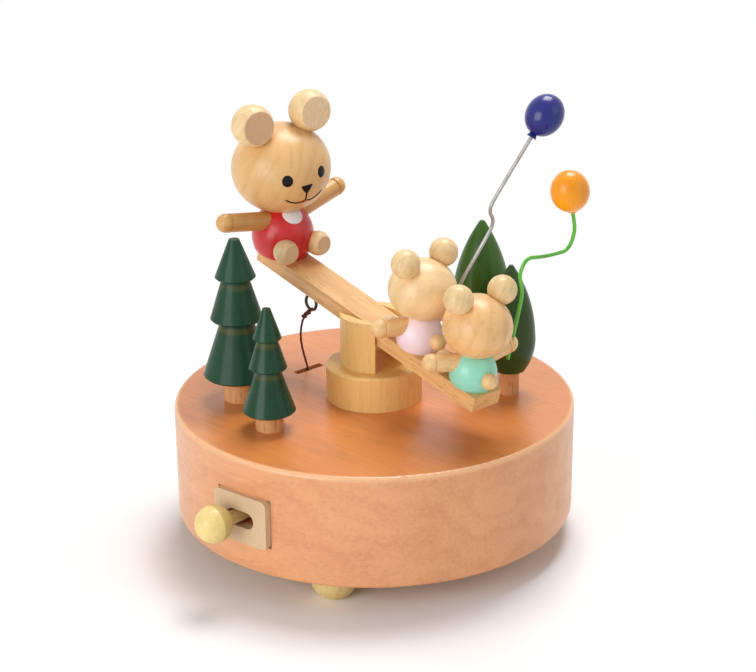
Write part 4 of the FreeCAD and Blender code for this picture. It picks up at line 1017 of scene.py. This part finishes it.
@dataclass
class Balloons(Assembly):
    """The two balloons and their wires."""

    def dress(self) -> None:
        """Gives the balloons gloss paint and the wires their coats."""
        gloss = dict(coat=0.3, specular=0.3, drip=0.5)
        self.coat({
            PaintFinish("balloon_blue", srgb(24, 34, 126), srgb(16, 22, 88), roughness=0.26, **gloss):
                "blue_balloon",
            PaintFinish("balloon_orange", srgb(252, 162, 12), srgb(240, 132, 6), roughness=0.3, **gloss):
                "orange_balloon",
            MetalFinish("wire_grey", srgb(186, 182, 180), srgb(138, 132, 130), metallic=0.6, roughness=0.4):
                "blue_wire",
            PaintFinish("wire_green", srgb(96, 190, 50), srgb(58, 146, 34), ring_depth_mm=0.03):
                "green_wire",
        })


FORWARD = np.array([math.cos(BEAR_AZIMUTH), math.sin(BEAR_AZIMUTH), 0.0])
ACROSS = np.array([-math.sin(BEAR_AZIMUTH), math.cos(BEAR_AZIMUTH), 0.0])
UP = np.array([0.0, 0.0, 1.0])


@dataclass
class PullCord:
    """The twisted cord from the beam's eye down through the slot to the crank."""

    drum_top: float = 0.0408
    radius: float = 0.00035
    length: float = 0.047
    around: int = 18
    lobes: int = 3
    lobe_depth: float = 0.1
    twist: float = 0.0022
    still_mm: Pair = (29.2, 0.8)
    knot_mm: Pair = (30.0, 16.3)
    knot_size: float = 0.0002604
    knot_loops: float = 1.4
    knot_rise: float = 1.1
    knot_points: int = 96
    hitch_low_mm: Pair = (29.9, 16.8)
    hitch_high_mm: Pair = (26.6, 19.6)
    hitch_half: float = 0.00085
    hitch_points: int = 72
    route_mm: tuple[Pair, ...] = (
        (27.35, 18.05), (30.1, 16.6), (31.7, 12.6), (32.0, 8.4), (30.9, 4.6), (29.2, 0.8), (28.7, -2.4),
        (28.4, -5.4), (27.0, -8.0), (22.5, -8.9), (15.5, -8.0), (8.2, -7.5))

    def place(self, across_mm: Array, height_mm: Array) -> Array:
        """Points of the cord's upright plane, by distance towards the bear and height above the drum."""
        x, y, _ = np.multiply.outer(FORWARD, np.asarray(across_mm) * MM)
        return np.stack([x, y, self.drum_top + np.asarray(height_mm) * MM], axis=-1)

    def line(self) -> Array:
        """Reads the smooth line of the cord from a NURBS spline through its route.

        Returns:
            The line's points.
        """
        route = self.place(*np.array(self.route_mm).T)
        curve = bpy.data.curves.new("cord_line", "CURVE")
        curve.dimensions = "3D"
        curve.resolution_u = 24
        spline = curve.splines.new("NURBS")
        spline.points.add(len(route) - 1)
        spline.points.foreach_set("co", np.column_stack([route, np.ones(len(route))]).ravel())
        spline.order_u = 3
        spline.use_endpoint_u = True
        holder = add_object("cord_line", curve)
        graph = bpy.context.evaluated_depsgraph_get()
        mesh = bpy.data.meshes.new_from_object(holder.evaluated_get(graph))
        points = read(mesh.vertices, "co", 3)
        bpy.data.objects.remove(holder)
        bpy.data.meshes.remove(mesh)
        return points

    def build(self) -> None:
        """Makes the cord, its bead knot and its hitch round the eye."""
        # The second, dark colour is the painted shade in the grooves between the strands.
        finish = CordFinish("cord_red_brown", srgb(140, 52, 36), srgb(66, 22, 18))
        path = self.line()
        cord = self.strands("twisted_cord", path, np.broadcast_to(ACROSS, path.shape), False)
        knot = self.bead()
        hitch = self.hitch()
        put_on(finish, cord, knot, hitch)
        start = self.place(*self.still_mm)
        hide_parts("pull_cord")
        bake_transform(cord)
        for piece in (knot, hitch):
            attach(piece, "seesaw")

    def strands(self, name: str, path: Array, side: Array, closed: bool) -> Piece:
        """A tube of three twisted strands: the section has three lobes that turn as it goes.

        Args:
            name: the piece's name.
            path: the tube's middle line.
            side: a direction across it at each point.
            closed: whether the line ends where it starts.

        Returns:
            The piece, with a strand attribute that is 1 on the lobes.
        """
        gone = np.concatenate([[0.0], np.cumsum(np.linalg.norm(np.diff(path, axis=0), axis=1))])
        lobe = np.cos(self.lobes * turns(self.around)[None, :] - FULL_TURN * gone[:, None] / self.twist)
        radius = self.radius * (1.0 - self.lobe_depth + self.lobe_depth * lobe)
        piece = grid_piece(name, tube_points(path, side, radius, self.around), closed)
        strand = piece.data.attributes.new("strand", "FLOAT", "POINT")
        strand.data.foreach_set("value", (0.5 + 0.5 * lobe).ravel().astype(np.float32))
        return piece

    def bead(self) -> Piece:
        """The bead knot: a trefoil pulled tight on the cord.

        Returns:
            The piece.
        """
        middle = self.place(*self.knot_mm)
        turn = turns(self.knot_points)[:, None]
        wide = np.sin(turn) + self.knot_loops * np.sin(2.0 * turn)
        deep = np.cos(turn) - self.knot_loops * np.cos(2.0 * turn)
        rise = -self.knot_rise * np.sin(3.0 * turn)
        path = middle + self.knot_size * (wide * FORWARD + deep * ACROSS + rise * UP)
        return self.strands("cord_knot", path, path - middle, True)

    def hitch(self) -> Piece:
        """The loop from the knot through the beam's eye, an ellipse across the eye's wire.

        Returns:
            The piece.
        """
        low = self.place(*self.hitch_low_mm)
        high = self.place(*self.hitch_high_mm)
        middle = 0.5 * (low + high)
        turn = turns(self.hitch_points)[:, None]
        path = middle + np.cos(turn) * 0.5 * (high - low) + np.sin(turn) * self.hitch_half * ACROSS
        return self.strands("cord_hitch", path, path - middle, True)


@dataclass
class Movement(Assembly):
    """The spring-driven comb movement, its key and the small steel fittings."""

    def dress(self) -> None:
        """Gives the movement its metals."""
        self.coat({
            MetalFinish("brass", srgb(214, 178, 104), srgb(170, 132, 66), roughness=0.28):
                "pinned_cylinder spring_barrel crank_disc governor_wheel governor_fan",
            MetalFinish("steel", srgb(196, 196, 200), srgb(140, 140, 146)):
                "axle lever_pivot board_screws spring_arbor comb mainspring winding_key",
            MetalFinish("casting", srgb(170, 168, 162), srgb(120, 118, 112), metallic=0.7, roughness=0.55):
                "bedplate governor_frame",
            MetalFinish("eye_steel", srgb(92, 76, 66), srgb(48, 38, 34), metallic=0.8, roughness=0.38):
                "screw_eye",
        })


@dataclass(frozen=True)
class Lamp:
    """A square lamp: its place, its side and its power in watts."""

    name: str
    place: Triple
    size: float
    power: float


@dataclass
class Studio:
    """The floor, the light and the camera."""

    eye: Triple = (-0.0583785, -0.5045507, 0.2499113)
    tilt_deg: Triple = (69.3869, 0.4540, -6.9077)
    lens: float = 90.504
    sensor: float = 36.0
    clip_start: float = 0.01
    lamps: tuple[Lamp, ...] = (
        Lamp("top_light", place=(0.15, 0.26, 0.82), size=0.4, power=5.2),
        Lamp("front_light", place=(-0.64, -0.58, 0.27), size=0.6, power=4.2),
        Lamp("side_light", place=(0.62, -0.36, 0.42), size=0.5, power=0.5))
    world: float = 0.32
    floor: Colour = srgb(246, 245, 244)
    floor_gain: float = 1.12
    floor_half: float = 3.0
    fade_mm: Pair = (75.0, 160.0)
    aim: Triple = (0.0, 0.0, 0.05)

    def build(self) -> None:
        """Sets up the whole studio."""
        bpy.context.scene.view_settings.view_transform = "Standard"
        self.add_camera()
        self.add_world()
        self.add_floor()
        for lamp in self.lamps:
            self.add_lamp(lamp)

    def add_camera(self) -> None:
        """Adds the camera at the photograph's place."""
        data = bpy.data.cameras.new("camera")
        data.lens = self.lens
        data.sensor_width = self.sensor
        data.sensor_fit = "HORIZONTAL"
        data.clip_start = self.clip_start
        camera = add_object("camera", data)
        camera.location = self.eye
        camera.rotation_euler = Euler([math.radians(angle) for angle in self.tilt_deg], "XYZ")
        bpy.context.scene.camera = camera

    def add_world(self) -> None:
        """Lights softly from all round, and shows white behind the object."""
        graph = Graph(bpy.data.worlds.new("studio"))
        bpy.context.scene.world = graph.owner
        soft = graph.node("ShaderNodeBackground", {}, {"Color": WHITE, "Strength": self.world})
        white = graph.node("ShaderNodeBackground", {}, {"Color": WHITE})
        shown = graph.node("ShaderNodeMixShader", {}, {0: self.seen(graph), 1: soft, 2: white})
        graph.node("ShaderNodeOutputWorld", {}, {"Surface": shown})

    @staticmethod
    def seen(graph: Graph) -> Value:
        """1 for rays of the camera and of glosses, and 0 for other light."""
        camera, glossy = (graph.node("ShaderNodeLightPath", {}, {}, name)
                          for name in ("Is Camera Ray", "Is Glossy Ray"))
        return camera.combine("MAXIMUM", camera, glossy)

    def add_floor(self) -> None:
        """Adds a pale floor, exposed to white for the camera so that only the shadow shows."""
        half = self.floor_half
        mesh = bpy.data.meshes.new("floor")
        corners = [(-half, -half, 0.0), (half, -half, 0.0), (half, half, 0.0), (-half, half, 0.0)]
        mesh.from_pydata(corners, [], [(0, 1, 2, 3)])
        floor = add_object("floor", mesh)
        graph = Graph(bpy.data.materials.new("floor_pale"))
        camera = graph.node("ShaderNodeLightPath", {}, {}, "Is Camera Ray")
        x_mm, y_mm, _ = graph.parts(graph.place_mm(ALONG_X))
        away = (x_mm * x_mm + y_mm * y_mm).root()
        far = self.seen(graph) * away.step(*self.fade_mm)
        matt = graph.node("ShaderNodeBsdfDiffuse", {}, {"Color": self.floor})
        bright = graph.node("ShaderNodeBsdfDiffuse", {}, {"Color": scaled(self.floor, self.floor_gain)})
        near = graph.node("ShaderNodeMixShader", {}, {0: camera, 1: matt, 2: bright})
        white = graph.node("ShaderNodeEmission", {}, {"Color": WHITE, "Strength": 1.0})
        shown = graph.node("ShaderNodeMixShader", {}, {0: far, 1: near, 2: white})
        mesh.materials.append(graph.ended(shown))

    def add_lamp(self, lamp: Lamp) -> None:
        """Adds one lamp that looks at the object.

        Args:
            lamp: the lamp.
        """
        data = bpy.data.lights.new(lamp.name, "AREA")
        data.size = lamp.size
        data.energy = lamp.power
        holder = add_object(lamp.name, data)
        holder.location = lamp.place
        aim = Vector(self.aim) - Vector(lamp.place)
        holder.rotation_euler = aim.to_track_quat("-Z", "Y").to_euler()


BEAR_HEADING = -53.5
CUB_HEADING = 126.5
CUB_WIDE = 0.0096
CUB_TALL = 0.00872
BEAR_HEAD = Round((-0.0231286, 0.0312565, 0.1011132), wide=0.0146, tall=0.0132, heading=BEAR_HEADING,
                  turn=-10.5, roll=5.7)
BEAR_BODY = Round((-0.0231286, 0.0312565, 0.0807132), wide=0.0092, tall=0.01, heading=BEAR_HEADING)
PINK_HEAD = Round((0.0117841, -0.0159252, 0.0779778), CUB_WIDE, CUB_TALL, CUB_HEADING, pitch=5.3, turn=0.9)
MINT_HEAD = Round((0.0242588, -0.0327839, 0.0726771), CUB_WIDE, CUB_TALL, CUB_HEADING, pitch=6.3, turn=-8.2)


def figures(nodes: Nodes) -> list[Figure]:
    """The big bear and the two cubs.

    Args:
        nodes: the model's nodes by name.

    Returns:
        The three figures.
    """
    cream = srgb(246, 218, 182)
    ears = dict(ear_left=cream, ear_right=srgb(220, 176, 146), feet=srgb(232, 200, 162))
    cub = dict(limb_nodes=("arms", "tail"), flat_nodes=dict(ears=cream, feet=cream))
    red = PaintFinish("bear_red", srgb(216, 38, 40), srgb(174, 20, 28))
    pink = PaintFinish("cub_pink", srgb(253, 235, 243), srgb(244, 214, 230))
    mint = PaintFinish("cub_mint", srgb(156, 230, 204), srgb(128, 208, 182))
    return [
        Figure(nodes, Face("bear", BEAR_HEAD, eye=0.00175, nose=0.0021, line=0.0006), red,
               pith_mm=(-60.0, 30.0, 60.0), limb_nodes=("arm_left", "arm_right", "tail"), flat_nodes=ears,
               limb_pale=srgb(228, 176, 106), limb_dark=srgb(198, 140, 74)),
        Figure(nodes, Face("pink_cub", PINK_HEAD), pink, pith_mm=(0.0, -50.0, 40.0),
               pale=srgb(252, 218, 164), dark=srgb(226, 178, 118), **cub),
        Figure(nodes, Face("mint_cub", MINT_HEAD), mint, pith_mm=(60.0, -30.0, 60.0),
               pale=srgb(244, 196, 134), dark=srgb(212, 150, 86), **cub),
    ]


def main() -> None:
    """Builds and dresses the music box."""
    logging.basicConfig(level=logging.INFO, format="%(name)s: %(message)s")
    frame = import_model()
    nodes = frame["nodes"]
    Studio().build()
    PullCord().build()
    for part in (Drum(nodes), StopLever(nodes), Stand(nodes), Woods(nodes), Balloons(nodes), Movement(nodes)):
        part.dress()
        LOG.info("dressed %s", type(part).__name__)
    for figure in figures(nodes):
        figure.dress()
        figure.face.build()
        LOG.info("dressed %s", figure.face.owner)
    Bib(BEAR_BODY).build()


if __name__ == "__main__":
    main()
